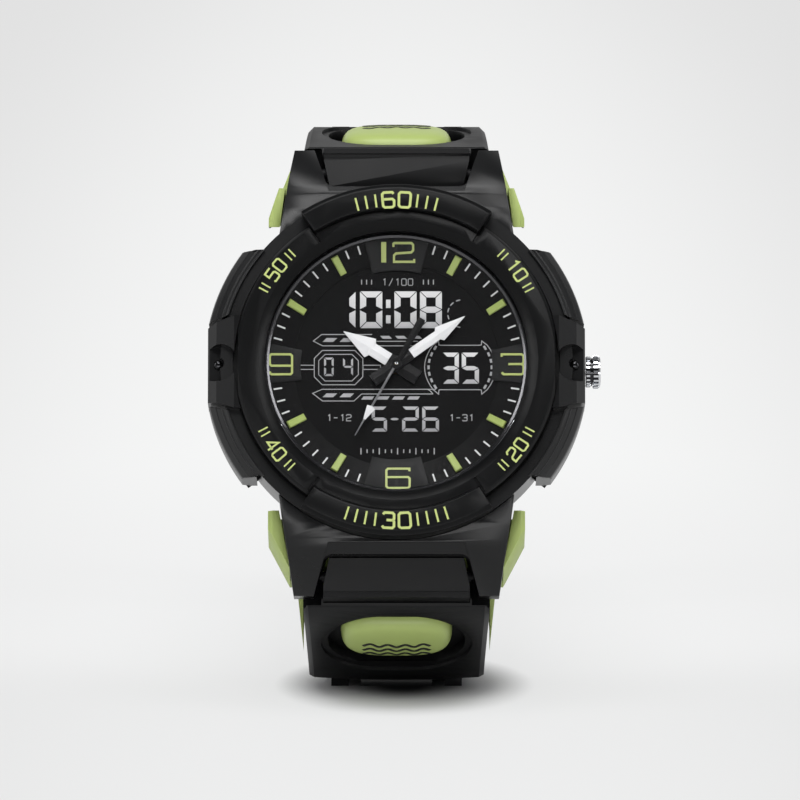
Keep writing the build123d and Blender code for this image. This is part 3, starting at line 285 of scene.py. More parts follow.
# The CAD nodes that take each look
node_looks = {
    "case": "case_middle horn_cover_12 horn_cover_6",
    "guard": "guard_left guard_right",
    "bezel": "bezel_ring bezel_plate_12 bezel_plate_6",
    "button": "button_upper_right button_lower_right button_upper_left button_lower_left",
    "strap": "strap_12_body strap_12_cover strap_6_body strap_6_cover strap_keeper",
    "green": "strap_12_liner strap_6_liner",
    "dome": "strap_12_inlay strap_6_inlay",
    "seal": "case_back_gasket crystal_gasket crown_seal button_seals",
    "steel": "case_back case_back_screws buckle_bar buckle_frame buckle_tongue button_springs crown_stem "
             "setting_yoke battery_clip coin_cell motor_core motor_rotor button_stem_upper_right "
             "button_stem_lower_right button_stem_upper_left button_stem_lower_left",
    "bar": "spring_bars",
    "chrome": "crown",
    "rim": "dial_rim",
    "pin": "guard_pins",
    "crystal": "crystal",
    "lcd": "lcd_panel",
    "chapter": "chapter_ring",
    "plate": "numeral_plates",
    "marker": "hour_markers",
    "white": "hour_hand minute_hand",
    "hand_grey": "second_hand",
    "brass": "hour_tube minute_tube second_arbor",
    "module": "module_housing",
    "board": "circuit_board",
    "zebra": "zebra_strips",
    "copper": "motor_coil",
}
body_of = {node: body for body, members in record["behaviour"]["bodies"].items() for node in members}


def dress(piece, look):
    piece.data.materials.clear()
    piece.data.materials.append(looks[look])


look_of = {}
for look, members in node_looks.items():
    for member in members.split():
        look_of[member] = look
        dress(nodes[member], look)


# Mesh pieces

MITRE_LIMIT = 0.4


def add_object(name, data):
    made = bpy.data.objects.new(name, data)
    scene.collection.objects.link(made)
    return made


def add_piece(name, mesh, look, body, replaced=()):
    piece = add_object(name, mesh)
    dress(piece, look)
    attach(piece, body)
    if replaced:
        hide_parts(*replaced)
    return piece


def mesh_of(name, points, faces, place=watch_to_row):
    mesh = bpy.data.meshes.new(name)
    mesh.from_pydata([place @ Vector(p) for p in points], [], faces)
    mesh.validate()
    return mesh


def closed_mesh(name, points, faces):
    """Mesh with all its faces turned outwards."""
    mesh = mesh_of(name, points, faces)
    work = bmesh.new()
    work.from_mesh(mesh)
    bmesh.ops.recalc_face_normals(work, faces=work.faces)
    work.to_mesh(mesh)
    work.free()
    mesh.shade_smooth()
    return mesh


def ring_faces(count, size, first=0, joined=False):
    """Faces between rings of points that follow each other, joined in a loop or closed at both ends."""
    faces = []
    for i in range(count if joined else count - 1):
        a = first + size * i
        b = first + size * ((i + 1) % count)
        faces += [(a + j, a + (j + 1) % size, b + (j + 1) % size, b + j) for j in range(size)]
    if not joined:
        last = first + size * (count - 1)
        faces += [tuple(range(first + size - 1, first - 1, -1)), tuple(range(last, last + size))]
    return faces


def arc_block(radii, heights, angles, count=24, first=0):
    """Closed block between two radii, heights and angles from 3 o'clock."""
    low, high = heights
    corners = ((radii[0], low), (radii[1], low), (radii[1], high), (radii[0], high))
    points = []
    for i in range(count + 1):
        turn = angles[0] + (angles[1] - angles[0]) * i / count
        points += [(*polar(radius, turn), z) for radius, z in corners]
    return points, ring_faces(count + 1, 4, first)


def round_edges(piece, width, angle=32):
    bevel = piece.modifiers.new("edges", "BEVEL")
    bevel.width = width / 1000
    bevel.segments = 2
    bevel.limit_method = "ANGLE"
    bevel.angle_limit = math.radians(angle)
    bevel.use_clamp_overlap = True
    bevel.harden_normals = True


def anticlockwise(outline):
    area = sum(a[0] * b[1] - b[0] * a[1] for a, b in zip(outline, outline[1:] + outline[:1]))
    return outline if area > 0 else outline[::-1]


def printed(name, outlines, height_at, look, thick=PRINT_THICK):
    """Thin closed plates, one to each outline of (x, y) points, lying over a surface of the watch."""
    points, faces = [], []
    for outline in outlines:
        ordered = anticlockwise(outline)
        faces += ring_faces(2, len(ordered), len(points))
        points += [(x, y, height_at(x, y)) for x, y in ordered]
        points += [(x, y, height_at(x, y) + thick) for x, y in ordered]
    add_piece(name, mesh_of(name, points, faces), look, "case")


def flat(z):
    return lambda x, y: z + PRINT_LIFT


def on_slope(lift=PRINT_LIFT):
    return lambda x, y: chapter_z(math.hypot(x, y)) + lift


def stroke(points, width, closed=False):
    """Quads of one width along a line, mitred at its corners."""
    count = len(points)
    last = count if closed else count - 1
    line = [Vector(p) for p in points]
    ways = [(line[(i + 1) % count] - line[i]).normalized() for i in range(last)]
    sides = []
    for i in range(count):
        near = ([ways[i - 1]] if closed or i > 0 else []) + ways[i:i + 1]
        way = sum(near, Vector((0, 0))).normalized()
        reach = Vector((-way.y, way.x)) * (width / 2 / max(way.dot(near[0]), MITRE_LIMIT))
        sides.append((line[i] + reach, line[i] - reach))
    steps = [(sides[i], sides[(i + 1) % count]) for i in range(last)]
    return [[tuple(b), tuple(d), tuple(c), tuple(a)] for (a, b), (c, d) in steps]


def inset(outline, distance):
    """Convex outline moved inwards by a distance."""
    points = anticlockwise(outline)
    lines = []
    for a, b in zip(points, points[1:] + points[:1]):
        way = (Vector(b) - Vector(a)).normalized()
        lines.append((Vector(a) + Vector((-way.y, way.x)) * distance, way))
    corners = zip(lines[-1:] + lines[:-1], lines)
    return [tuple(a + u * ((b - a).cross(v) / u.cross(v))) for (a, u), (b, v) in corners]


# Display

SEGMENTS_ON = {
    "0": "abcdef", "1": "bc", "2": "abged", "3": "abgcd", "4": "fgbc", "5": "afgcd",
    "6": "afgecd", "8": "abcdefg", "-": "g",
}
DIGIT_GAP = 0.11


def digit_outlines(character, left, low, right, high, bar):
    """Segments of one digit that fills a box."""
    middle = (low + high) / 2
    half = bar / 2

    def level(y, up):
        return [(left, y), (right, y), (right - bar, y - up * bar), (left + bar, y - up * bar)]

    def upright(x, inwards, y, up):
        return [(x, y), (x, middle), (x + inwards, middle + up * half), (x + inwards, y - up * bar)]

    shapes = {
        "a": level(high, 1), "d": level(low, -1),
        "b": upright(right, -bar, high, 1), "c": upright(right, -bar, low, -1),
        "f": upright(left, bar, high, 1), "e": upright(left, bar, low, -1),
        "g": [(left, middle), (left + bar, middle + half), (right - bar, middle + half),
              (right, middle), (right - bar, middle - half), (left + bar, middle - half)],
    }
    return [inset(shapes[key], DIGIT_GAP / 2) for key in SEGMENTS_ON[character]]


# Each group of digits: its look, top and foot, then each digit's sides and bar, in pixels
DIGITS = {
    "display_time": ("silver", 290.7, 328.4, [
        ("1", 345.6, 355.8, 7.0), ("0", 359.5, 382.7, 7.0),
        ("0", 394.0, 417.0, 7.0), ("8", 419.6, 442.4, 7.0)]),
    "display_seconds": ("silver", 352.2, 384.1, [("3", 442.2, 459.3, 5.0), ("5", 461.4, 479.4, 5.0)]),
    "display_date": ("silver_dim", 406.2, 432.0, [
        ("5", 371.2, 387.4, 4.0), ("-", 389.4, 399.8, 3.2),
        ("2", 401.7, 419.2, 4.0), ("6", 421.8, 439.4, 4.0)]),
    "display_day": ("silver_dim", 357.2, 376.4, [("0", 323.6, 334.0, 2.8), ("4", 342.6, 353.4, 2.8)]),
}
COLON_SIDES = (386, 390.5)
COLON_DOTS = ((299.5, 307.8), (315.2, 323.2))


def display_piece(name, outlines, look="line"):
    printed(name, outlines, flat(LCD_Z), look)


def photo_plate(points):
    return [on_dial(px, py) for px, py in points]


def photo_line(points, width=0.8, closed=False):
    return stroke(photo_plate(points), width * PIXEL, closed)


def display_digits():
    for name, (look, top, foot, digits) in DIGITS.items():
        outlines = []
        for character, x0, x1, bar in digits:
            left, high = on_dial(x0, top)
            right, low = on_dial(x1, foot)
            outlines += digit_outlines(character, left, low, right, high, bar * PIXEL)
        if name == "display_time":
            left, right = COLON_SIDES
            outlines += [photo_plate([(left, a), (right, a), (right, b), (left, b)]) for a, b in COLON_DOTS]
        display_piece(name, outlines, look)


def octagon(left, top, right, foot, cut):
    return [(left + cut, top), (right - cut, top), (right, top + cut), (right, foot - cut),
            (right - cut, foot), (left + cut, foot), (left, foot - cut), (left, top + cut)]


def display_frames():
    lines = photo_line(octagon(314.2, 350.4, 362.8, 384.8, 8.0), closed=True)
    lines += photo_line(octagon(318.6, 354.3, 358.3, 381.0, 6.4), closed=True)
    for left, right in ((298.0, 314.0), (363.0, 380.5)):
        lines += photo_line([(left, 365.2), (right, 365.2), (right, 369.4), (left, 369.4)], closed=True)
    lines += photo_line([(372, 334.4), (321.5, 334.4), (313.2, 341.0), (322.5, 345.8), (425, 345.8)])
    lines += photo_line([(376, 341.2), (418, 341.2)])
    lines += photo_line([(436, 389.3), (322, 389.3), (312.6, 393.4), (322.5, 401), (354, 401), (361.5, 394),
                         (433, 394)])
    lines += photo_line([(433, 394), (431, 391.6), (428, 389.3)])
    for x in (326.5, 343.5):
        for y in (338.0, 393.4):
            lines.append(photo_plate([(x, y), (x + 10.6, y), (x + 6.6, y + 3.8), (x - 4.0, y + 3.8)]))
    for x in (380, 395, 410):
        lines.append(photo_plate([(x, 335.8), (x + 9.2, 335.8), (x + 12.0, 338.6), (x + 2.8, 338.6)]))
    for x in (363.6, 379.0, 394.4, 409.4):
        lines.append(photo_plate([(x, 396.4), (x + 10.6, 396.4), (x + 8.4, 399.6), (x - 2.4, 399.6)]))
    display_piece("display_frames", lines)


SECONDS_MIDDLE = 367.3
BOW_HALF = 26.6
BOW_DEPTH = 12.0
DASH_HALF = 25.0
DASH_REACH = 0.78
DASH_DEPTH = 11.0
DASH_IN = 4.0


def display_seconds_frame():
    """Line round the small seconds, bowed at its sides, with dashes inside."""
    lines = []
    for side, x_ear, x_bow in ((-1, 438.6, 424.6), (1, 481.8, 495.8)):
        line = [(x_ear - side * 2.2, 345.2), (x_ear - side * 0.4, 344.9), (x_ear, 340.9)]
        for i in range(1, 12):
            share = -1 + i / 6
            line.append((x_bow - side * BOW_DEPTH * share * share, SECONDS_MIDDLE + BOW_HALF * share))
        line += [(x_ear, 394.2), (x_ear - side * 0.4, 390.0), (x_ear - side * 2.2, 389.7)]
        lines += photo_line(line)
        for i in range(7):
            share = DASH_REACH * (i / 3 - 1)
            x = x_bow - side * (DASH_IN + DASH_DEPTH * share * share)
            y = SECONDS_MIDDLE + DASH_HALF * share
            lean = side * 2 * DASH_DEPTH * share / DASH_HALF
            lines += photo_line([(x + lean * 1.6, y - 1.9), (x - lean * 1.6, y + 1.9)], 2.2)
    for y in (345.2, 389.7):
        lines += photo_line([(440.8, y), (479.6, y)])
    display_piece("display_seconds_frame", lines)


RING_CENTRE = (461.9, 313.5)
RING_RADIUS = 14
RING_PEN = 1.1


def display_ring():
    """Dashed arc at the right of the time, next to the minute hand."""
    lines = []
    x, y = on_dial(*RING_CENTRE)
    for start in range(96, 276, 30):
        dash = [polar(RING_RADIUS * PIXEL, start + 6 * k) for k in range(4)]
        lines += stroke([(x + a, y + b) for a, b in dash], RING_PEN * PIXEL)
    display_piece("display_ring", lines)


# Stroke numerals, on a cell 1 wide and 1.5 high

STROKES = {
    "0": [[(0.15, 0), (0.85, 0), (1, 0.18), (1, 1.32), (0.85, 1.5), (0.15, 1.5), (0, 1.32), (0, 0.18),
           (0.15, 0)]],
    "1": [[(0.28, 1.24), (0.62, 1.5), (0.62, 0)]],
    "2": [[(0, 1.2), (0, 1.34), (0.15, 1.5), (0.85, 1.5), (1, 1.34), (1, 0.96), (0.86, 0.8), (0.12, 0.64),
           (0, 0.5), (0, 0), (1, 0)]],
    "3": [[(0, 1.32), (0.14, 1.5), (0.86, 1.5), (1, 1.34), (1, 0.92), (0.86, 0.77), (0.35, 0.77)],
          [(0.86, 0.77), (1, 0.62), (1, 0.16), (0.86, 0), (0.14, 0), (0, 0.18)]],
    "4": [[(0.78, 0), (0.78, 1.5), (0, 0.45), (1.02, 0.45)]],
    "5": [[(0.95, 1.5), (0.05, 1.5), (0, 0.86), (0.84, 0.86), (1, 0.7), (1, 0.16), (0.85, 0), (0.12, 0),
           (0, 0.14)]],
    "6": [[(0.95, 1.34), (0.84, 1.5), (0.15, 1.5), (0, 1.34), (0, 0.16), (0.15, 0), (0.85, 0), (1, 0.16),
           (1, 0.66), (0.85, 0.82), (0, 0.82)]],
    "-": [[(0.1, 0.75), (0.9, 0.75)]],
    "/": [[(0.1, -0.1), (0.9, 1.6)]],
}
TEXT_GAP = 0.42


def text_outlines(text, place, height, width, pen):
    """Strokes of a row of numerals; place carries (along, up) from the row's middle to (x, y)."""
    rise = height / 1.5
    pitch = width * (1 + TEXT_GAP)
    start = -pitch * (len(text) - 1) / 2 - width / 2
    outlines = []
    for index, character in enumerate(text):
        for line in STROKES[character]:
            points = [place(start + pitch * index + x * width, (y - 0.75) * rise) for x, y in line]
            outlines += stroke(points, pen)
    return outlines


def round_place(radius, clock, outwards):
    """Place of a row that is bent round the dial at a clock angle."""
    sign = 1 if outwards else -1
    return lambda along, up: polar(radius + sign * up, 90 - clock - math.degrees(sign * along / radius))


# Each caption: its text, middle, height and pen
CAPTIONS = [("1/100", (397.4, 281.8), 6.6, 0.10), ("1-12", (339.0, 417.8), 6.2, 0.12),
            ("1-31", (461.5, 417.8), 6.2, 0.12)]
CAPTION_WIDTH = 4.6


def display_captions():
    """Plain numbers where the display has its captions."""
    lines = []
    for text, middle, height, pen in CAPTIONS:
        x, y = on_dial(*middle)
        rows = text_outlines(text, lambda along, up: (along, up), height * PIXEL, CAPTION_WIDTH * PIXEL, pen)
        lines += [[(x + along, y + up) for along, up in outline] for outline in rows]
    for x in (361.5, 366.5, 371.5, 423.5, 428.5, 433.5):
        lines += photo_line([(x, 279.4), (x, 284.2)], 1.0)
    for i in range(13):
        x = 361.0 + 6.1 * i
        rise = 3.2 if i % 3 == 0 else 1.8
        lines += photo_line([(x, 451.2 - rise), (x, 451.2 + rise)], 1.1)
    display_piece("display_captions", lines)


# Dial ring: ticks and the numerals 12, 6, 9 and 3, in pixels

DIAL_STROKES = [
    [(393.4, 246.6), (393.4, 243.6), (394.2, 242.8), (411.4, 242.8), (413.2, 244.6), (413.2, 250.0),
     (411.2, 252.2), (396.0, 253.2), (394.0, 255.2), (394.0, 261.6), (414.2, 261.6), (414.2, 258.8)],
    [(409.4, 471.2), (409.4, 468.6), (388.0, 468.6), (386.4, 470.2), (386.4, 486.2), (388.2, 487.8),
     (408.0, 487.8), (409.6, 486.2), (409.6, 478.4), (408.0, 477.0), (386.4, 477.0)],
    [(270.0, 371.6), (270.0, 373.2), (271.6, 374.4), (290.4, 374.4), (292.0, 372.8), (292.0, 356.0),
     (290.4, 354.4), (271.4, 354.4), (269.8, 356.0), (269.8, 364.2), (271.4, 365.8), (292.0, 365.8)],
    [(501.8, 356.8), (501.8, 354.4), (521.6, 354.4), (523.4, 356.0), (523.4, 362.6), (521.6, 364.2),
     (508.4, 364.2)],
    [(521.6, 364.2), (523.4, 365.8), (523.4, 372.8), (521.6, 374.4), (503.8, 374.4), (501.8, 372.4)],
]
NUMERAL_ONE = [(381.2, 241.8), (386.2, 241.8), (386.2, 262.2), (381.2, 262.2)]
TICK_RADII = (117 * PIXEL, 125.4 * PIXEL)
TICK_WIDTH = 0.21
NUMERAL_PEN = 0.29
NUMERAL_RISE = 0.16


def numeral_point(px, py):
    """Point on the numeral plates that shows at a pixel."""
    x, y = on_dial(px, py, DIAL_Z)
    return on_dial(px, py, chapter_z(math.hypot(x, y)) + NUMERAL_RISE)


def dial_numerals():
    lines = []
    for points in DIAL_STROKES:
        lines += stroke([numeral_point(*p) for p in points], NUMERAL_PEN)
    lines.append([numeral_point(*p) for p in NUMERAL_ONE])
    printed("dial_numerals", lines, on_slope(NUMERAL_RISE + 0.03), "print_lime", 0.10)


def radial_mark(clock, radii, width):
    """Straight mark that points at the dial's centre."""
    return stroke([polar(radius, 90 - clock) for radius in radii], width)


def minute_ticks():
    marks = []
    for minute in range(60):
        near = min(minute % 15, 15 - minute % 15)
        wide = 2 if min(minute % 30, 30 - minute % 30) <= 2 else 1
        if minute % 5 and near > wide:
            marks += radial_mark(6 * minute, TICK_RADII, TICK_WIDTH)
    printed("minute_ticks", marks, on_slope(), "print_white", 0.03)


# Bezel print: each text's height, width and pen. Each row has its clock angle, its text and whether its
# feet point inwards, and on the plates its radius and count of marks too.

BEZEL_TEXT_R = 20.35
BEZEL_TEXT = (1.75, 1.15, 0.26)
PLATE_TEXT = (2.05, 1.55, 0.34)
BEZEL_ROWS = ((53, "10", True), (127, "20", False), (233, "40", False), (307, "50", True))
BEZEL_MARK_RADII = (19.6, 21.0)
PLATE_ROWS = ((0, "60", True, 21.75, 3), (180, "30", False, 22.05, 4))
PLATE_MARK_HALF = 0.9


def bezel_numerals():
    lines = []
    for clock, text, outwards in BEZEL_ROWS:
        lines += text_outlines(text, round_place(BEZEL_TEXT_R, clock, outwards), *BEZEL_TEXT)
        for offset in (-9, -7, 7, 9):
            lines += radial_mark(clock + offset, BEZEL_MARK_RADII, 0.2)
    printed("bezel_numerals", lines, flat(BEZEL_Z), "print_lime")
    lines = []
    for clock, text, outwards, radius, marks in PLATE_ROWS:
        lines += text_outlines(text, round_place(radius, clock, outwards), *PLATE_TEXT)
        radii = (radius - PLATE_MARK_HALF, radius + PLATE_MARK_HALF)
        for step in range(marks):
            for side in (-1, 1):
                lines += radial_mark(clock + side * (7.4 + 3.4 * step), radii, 0.26)
    printed("plate_numerals", lines, flat(PLATE_Z), "print_lime")


# Painted highlight on the dial's rim, a bright chrome line: its radii, heights and arcs in degrees from 3
# o'clock
RIM_RADII = (17.62, 17.78)
RIM_HEIGHTS = (11.85, 11.95)
RIM_ARCS = [(-26, -44), (-46, -52), (-56, -72), (-75, -79), (-88, -101), (-106, -124), (-127, -131),
            (-135, -152)]


def make_rim_highlight():
    """Broken bright line on the lower half of the dial's rim, a painted highlight."""
    points, faces = [], []
    for arc in RIM_ARCS:
        block, sides = arc_block(RIM_RADII, RIM_HEIGHTS, arc, 12, len(points))
        points += block
        faces += sides
    add_piece("rim_highlight", closed_mesh("rim_highlight", points, faces), "chrome", "case")


# Hands

HAND_CLOCKS = {"hour": 302.3, "minute": 54.7, "second": 209.7}

# Each hand's pieces: name, look, sections of (along, half width), then low, thickness and ridge.
# The first one replaces the hand's node.
HANDS = {
    "hour": [
        ("hour_hand_white", "white", [(1.25, 0.9), (3.85, 0.9), (4.2, 1.47), (8.45, 0.03)],
         (10.42, 0.2, 0.16)),
        ("hour_hand_base", "hand_black", [(-3.4, 1.0), (1.25, 0.96)], (10.42, 0.2, 0.08)),
    ],
    "minute": [
        ("minute_hand_white", "white", [(2.45, 0.7), (6.8, 0.66), (7.15, 1.08), (11.3, 0.03)],
         (10.84, 0.2, 0.14)),
        ("minute_hand_base", "hand_black", [(-3.9, 0.85), (2.45, 0.74)], (10.84, 0.2, 0.08)),
    ],
    "second": [
        ("second_hand_needle", "hand_grey", [(0.3, 0.16), (6.9, 0.13), (11.3, 0.06)], (11.26, 0.14, 0.05)),
        ("second_hand_arrow", "white", [(6.75, 0.05), (6.9, 0.62), (8.8, 0.14)], (11.28, 0.18, 0.08)),
        ("second_hand_weight", "hand_black", [(-7.05, 0.40), (-6.7, 0.55), (-3.4, 0.42), (0.2, 0.2)],
         (11.26, 0.14, 0.08)),
    ],
}
RIDGE_HALF = 0.8

# Turned pieces of the second hand: name, look, (radius, height) points and steps round
HUBS = [
    ("second_hand_hub", "hand_black",
     [(0.24, 11.3), (0.74, 11.3), (0.74, 11.52), (0.62, 11.62), (0.24, 11.62)], 48),
    ("second_hand_cap", "chrome",
     [(0.0, 11.3), (0.2, 11.3), (0.2, 11.66), (0.12, 11.72), (0.0, 11.72)], 24),
]


def hand_mesh(name, sections, clock, low, thick, ridge):
    """Hand of (along, half width) sections with a raised middle line."""
    c, s = polar(1, -clock)
    points = []
    for along, half in sections:
        top = low + thick
        crest = top + ridge * min(half / RIDGE_HALF, 1)
        for x, z in ((-half, low), (-half, top), (0, crest), (half, top), (half, low)):
            points.append((x * c - along * s, x * s + along * c, z))
    return mesh_of(name, points, ring_faces(len(sections), 5))


def make_hands():
    for body, pieces in HANDS.items():
        replaced = [body + "_hand"]
        for name, look, sections, heights in pieces:
            mesh = hand_mesh(name, sections, HAND_CLOCKS[body], *heights)
            add_piece(name, mesh, look, body, replaced)
            replaced = ()
    for name, look, profile, count in HUBS:
        points = [(x, y, z) for radius, z in profile for x, y in circle(radius, count)]
        mesh = mesh_of(name, points, ring_faces(len(profile), count, joined=True))
        add_piece(name, mesh, look, "second")


# Buttons, crown, pins and notches

BED_RADII = (23.7, 25.5)
BED_HEIGHTS = (2.7, 3.4)
BED_ANGLES = (17.5, 38.0)
BUTTON_PROFILE = [(25.9, 9.4), (25.99, 9.65), (25.8, 10.35), (23.8, 12.25), (23.5, 12.25), (23.5, 11.95),
                  (24.45, 11.85), (24.45, 10.9), (25.1, 10.7), (25.5, 10.0)]
BUTTON_START = 12.5
BUTTON_LEAN = 1.42
BUTTON_LEAN_R = 26
BUTTON_END_Y = 15.5
BUTTON_STEPS = 20
CAP_EDGE = 0.12
CAP_ANGLE = 35


def make_button_beds():
    """Dark bed of the case behind each arc button."""
    low, high = BED_ANGLES
    for quarter, corner in enumerate(("upper_right", "upper_left", "lower_left", "lower_right")):
        start = 90 * quarter + (90 - high if quarter % 2 else low)
        points, faces = arc_block(BED_RADII, BED_HEIGHTS, (start, start + high - low))
        bed = "button_bed_" + corner
        add_piece(bed, mesh_of(bed, points, faces), "dark", "case")


def make_buttons():
    """Caps of the arc buttons, which reach over the case's shoulder."""
    for corner in CORNERS:
        across_sign = 1 if "right" in corner else -1
        up_sign = 1 if "upper" in corner else -1
        points = []
        for i in range(BUTTON_STEPS + 1):
            for radius, z in BUTTON_PROFILE:
                start = BUTTON_START + (BUTTON_LEAN_R - radius) * BUTTON_LEAN
                end = math.degrees(math.asin(BUTTON_END_Y / radius))
                x, y = polar(radius, start + (end - start) * i / BUTTON_STEPS)
                points.append((across_sign * x, up_sign * y, z))
        node = "button_" + corner
        mesh = closed_mesh(node + "_cap", points, ring_faces(BUTTON_STEPS + 1, len(BUTTON_PROFILE)))
        piece = add_piece(node + "_cap", mesh, "button", body_of[node])
        round_edges(piece, CAP_EDGE, CAP_ANGLE)


CROWN_Z = 4.4
CROWN_STEPS = 44
CROWN_TEETH = 22
CROWN_RINGS = ((25.66, 26.35, 2.12), (26.62, 27.45, 2.29))
CROWN_CORE = 1.92
CROWN_END = (27.7, 2.1, 1.75)
CROWN_EDGE = 0.12
TOOTH_FOOT = 0.58
TOOTH_TOP = 0.40
CROWN_SHARP = math.radians(30)


def crown_piece(name, points, faces, look, replaced=()):
    mesh = closed_mesh(name, points, faces)
    mesh.set_sharp_from_angle(angle=CROWN_SHARP)
    add_piece(name, mesh, look, "winding_crown", replaced)


def make_crown():
    """Crown of two toothed rings on a dark core, whose dark is painted shade between the teeth, with a
    polished end.
    """
    start = CROWN_RINGS[0][0]
    neck = CROWN_RINGS[1][1]
    end, wide, narrow = CROWN_END
    # The core's dark plating paints shade into the grooves between the teeth and the rings
    for name, profile, look, replaced in (
        ("crown_core", [(start, CROWN_CORE), (neck, CROWN_CORE)], "pin", ["crown"]),
        ("crown_end", [(neck - 0.05, wide), (end - CROWN_EDGE, wide), (end, narrow)], "chrome", ()),
    ):
        points = [(x, a, CROWN_Z + b) for x, radius in profile for a, b in circle(radius, CROWN_STEPS)]
        crown_piece(name, points, ring_faces(len(profile), CROWN_STEPS), look, replaced)
    points, faces = [], []
    foot = CROWN_CORE - 0.1
    for low, high, radius in CROWN_RINGS:
        rounded = radius - CROWN_EDGE
        sections = ((low, rounded), (low + CROWN_EDGE, radius), (high - CROWN_EDGE, radius), (high, rounded))
        for tooth in range(CROWN_TEETH):
            faces += ring_faces(4, 4, len(points))
            for x, top in sections:
                flank = ((foot, TOOTH_FOOT), (top, TOOTH_TOP), (top, -TOOTH_TOP), (foot, -TOOTH_FOOT))
                for r, share in flank:
                    a, b = polar(r, (2 * tooth + share) * 180 / CROWN_TEETH)
                    points.append((x, a, CROWN_Z + b))
    crown_piece("crown_teeth", points, faces, "chrome")


PIN_HEAD = (24.05, 0.62, 10.15, 0.35)
PIN_RINGS = 6
PIN_STEPS = 24


def make_pin_heads():
    """Domed heads of the guards' pins."""
    x, radius, z, rise = PIN_HEAD
    for name, side in (("pin_head_left", -1), ("pin_head_right", 1)):
        points = []
        for ring in range(PIN_RINGS):
            share, height = polar(1, 90 * ring / PIN_RINGS)
            points += [(side * x + a, b, z + rise * height) for a, b in circle(radius * share, PIN_STEPS)]
        mesh = closed_mesh(name, points, ring_faces(PIN_RINGS, PIN_STEPS))
        add_piece(name, mesh, "pin", "case")


HORN_ROOT = (17.6, 11.0)
HORN_KNEE = (23.6, 9.8)
HORN_END = (30.7, 4.3)
KNEE_SPREAD = 1.9
KNEE_CUTS = 12
KNEE_SKIN = 0.04


def sharp_horn_top(y):
    a, b = (HORN_ROOT, HORN_KNEE) if y < HORN_KNEE[0] else (HORN_KNEE, HORN_END)
    return a[1] + (y - a[0]) * slope(a, b)


def horn_top(y):
    """Height of the horns' outer face, with its knee softened."""
    start = HORN_KNEE[0] - KNEE_SPREAD
    if abs(y - HORN_KNEE[0]) >= KNEE_SPREAD:
        return sharp_horn_top(y)
    first = slope(HORN_ROOT, HORN_KNEE)
    turn = (slope(HORN_KNEE, HORN_END) - first) / (4 * KNEE_SPREAD)
    return sharp_horn_top(start) + first * (y - start) + turn * (y - start) ** 2


NOTCH_FILL_LOW = 5.8
NOTCH_BACK = (24.1, 9.2)
NOTCH_ENDS = {"notch_end_12": (1, 24.9), "notch_end_6": (-1, 25.55)}
NOTCH_FRONT = (30.7, 11.2)
NOTCH_SPREAD = slope(NOTCH_BACK, NOTCH_FRONT)
NOTCH_ROUND = 1.0
NOTCH_SINK = 0.3
NOTCH_EDGE = 0.12
NOTCH_ANGLE = 50


def make_notch_fills():
    """Rounded inner end of the notch between the horns."""
    for name, (side, front) in NOTCH_ENDS.items():
        half = NOTCH_BACK[1] + NOTCH_SPREAD * (front - NOTCH_BACK[0])
        flare = NOTCH_SPREAD * NOTCH_ROUND
        right = [(NOTCH_BACK[1] + NOTCH_SINK, NOTCH_BACK[0] - NOTCH_SINK),
                 (half + NOTCH_SINK + flare, front + NOTCH_ROUND)]
        for i in range(7):
            c, s = polar(1, 15 * i)
            right.append((half + flare * (1 - i / 6) - NOTCH_ROUND * (1 - c), front + NOTCH_ROUND * (1 - s)))
        plan = right + [(-x, y) for x, y in right[::-1]]
        points = [(x, side * y, NOTCH_FILL_LOW) for x, y in plan]
        points += [(x, side * y, horn_top(y)) for x, y in plan]
        mesh = closed_mesh(name, points, ring_faces(2, len(plan)))
        round_edges(add_piece(name, mesh, "case", "case"), NOTCH_EDGE, NOTCH_ANGLE)


# Straps

STRAP_ROOT = (31.2, 2.4)
STRAP_WAY = (0.2924, -0.9563)

# Outward shift of the straps, in millimetres at distances along them
UPPER_BEND = [(-1.5, 0.0), (0, 0.2), (3.4, 0.5), (7, 0.95), (10, 1.25), (13, 1.47), (16, 1.5), (19, 1.2),
              (22.4, 0.4), (26, -0.9), (30, -2.0), (36, -2.9), (46, -2.8), (60, 0.0)]
LOWER_BEND = [(-1.5, 0.0), (0, 0.3), (3.4, 1.15), (8, 1.25), (18, 1.45), (22.4, 1.7), (27, 0.9), (32, 0.0)]


def from_table(table, value):
    """Smooth value between the rows of a table."""
    if value <= table[0][0]:
        return table[0][1]
    if value >= table[-1][0]:
        return table[-1][1]
    i = max(k for k in range(len(table) - 1) if table[k][0] <= value)
    (x0, y0), (x1, y1) = table[i], table[i + 1]

    def slope_at(k):
        return slope(table[max(k - 1, 0)], table[min(k + 1, len(table) - 1)])

    width = x1 - x0
    t = (value - x0) / width
    return ((2 * t**3 - 3 * t**2 + 1) * y0 + (t**3 - 2 * t**2 + t) * width * slope_at(i)
            + (3 * t**2 - 2 * t**3) * y1 + (t**3 - t**2) * width * slope_at(i + 1))


def along_strap(point, side):
    """Distance along the strap's straight start and height over its outer face."""
    y = side * point[1] - STRAP_ROOT[0]
    z = point[2] - STRAP_ROOT[1]
    return (y * STRAP_WAY[0] + z * STRAP_WAY[1], -y * STRAP_WAY[1] + z * STRAP_WAY[0])


def strap_point(x, s, out, side):
    """Point at a distance along the strap and a height over its outer face, with the strap's bend."""
    out += from_table(UPPER_BEND if side > 0 else LOWER_BEND, s)
    y = STRAP_ROOT[0] + s * STRAP_WAY[0] - out * STRAP_WAY[1]
    z = STRAP_ROOT[1] + s * STRAP_WAY[1] + out * STRAP_WAY[0]
    return Vector((x, side * y, z))


def bend_strap(side):
    def move(point):
        s, out = along_strap(point, side)
        return strap_point(point[0], s, out, side)
    return move


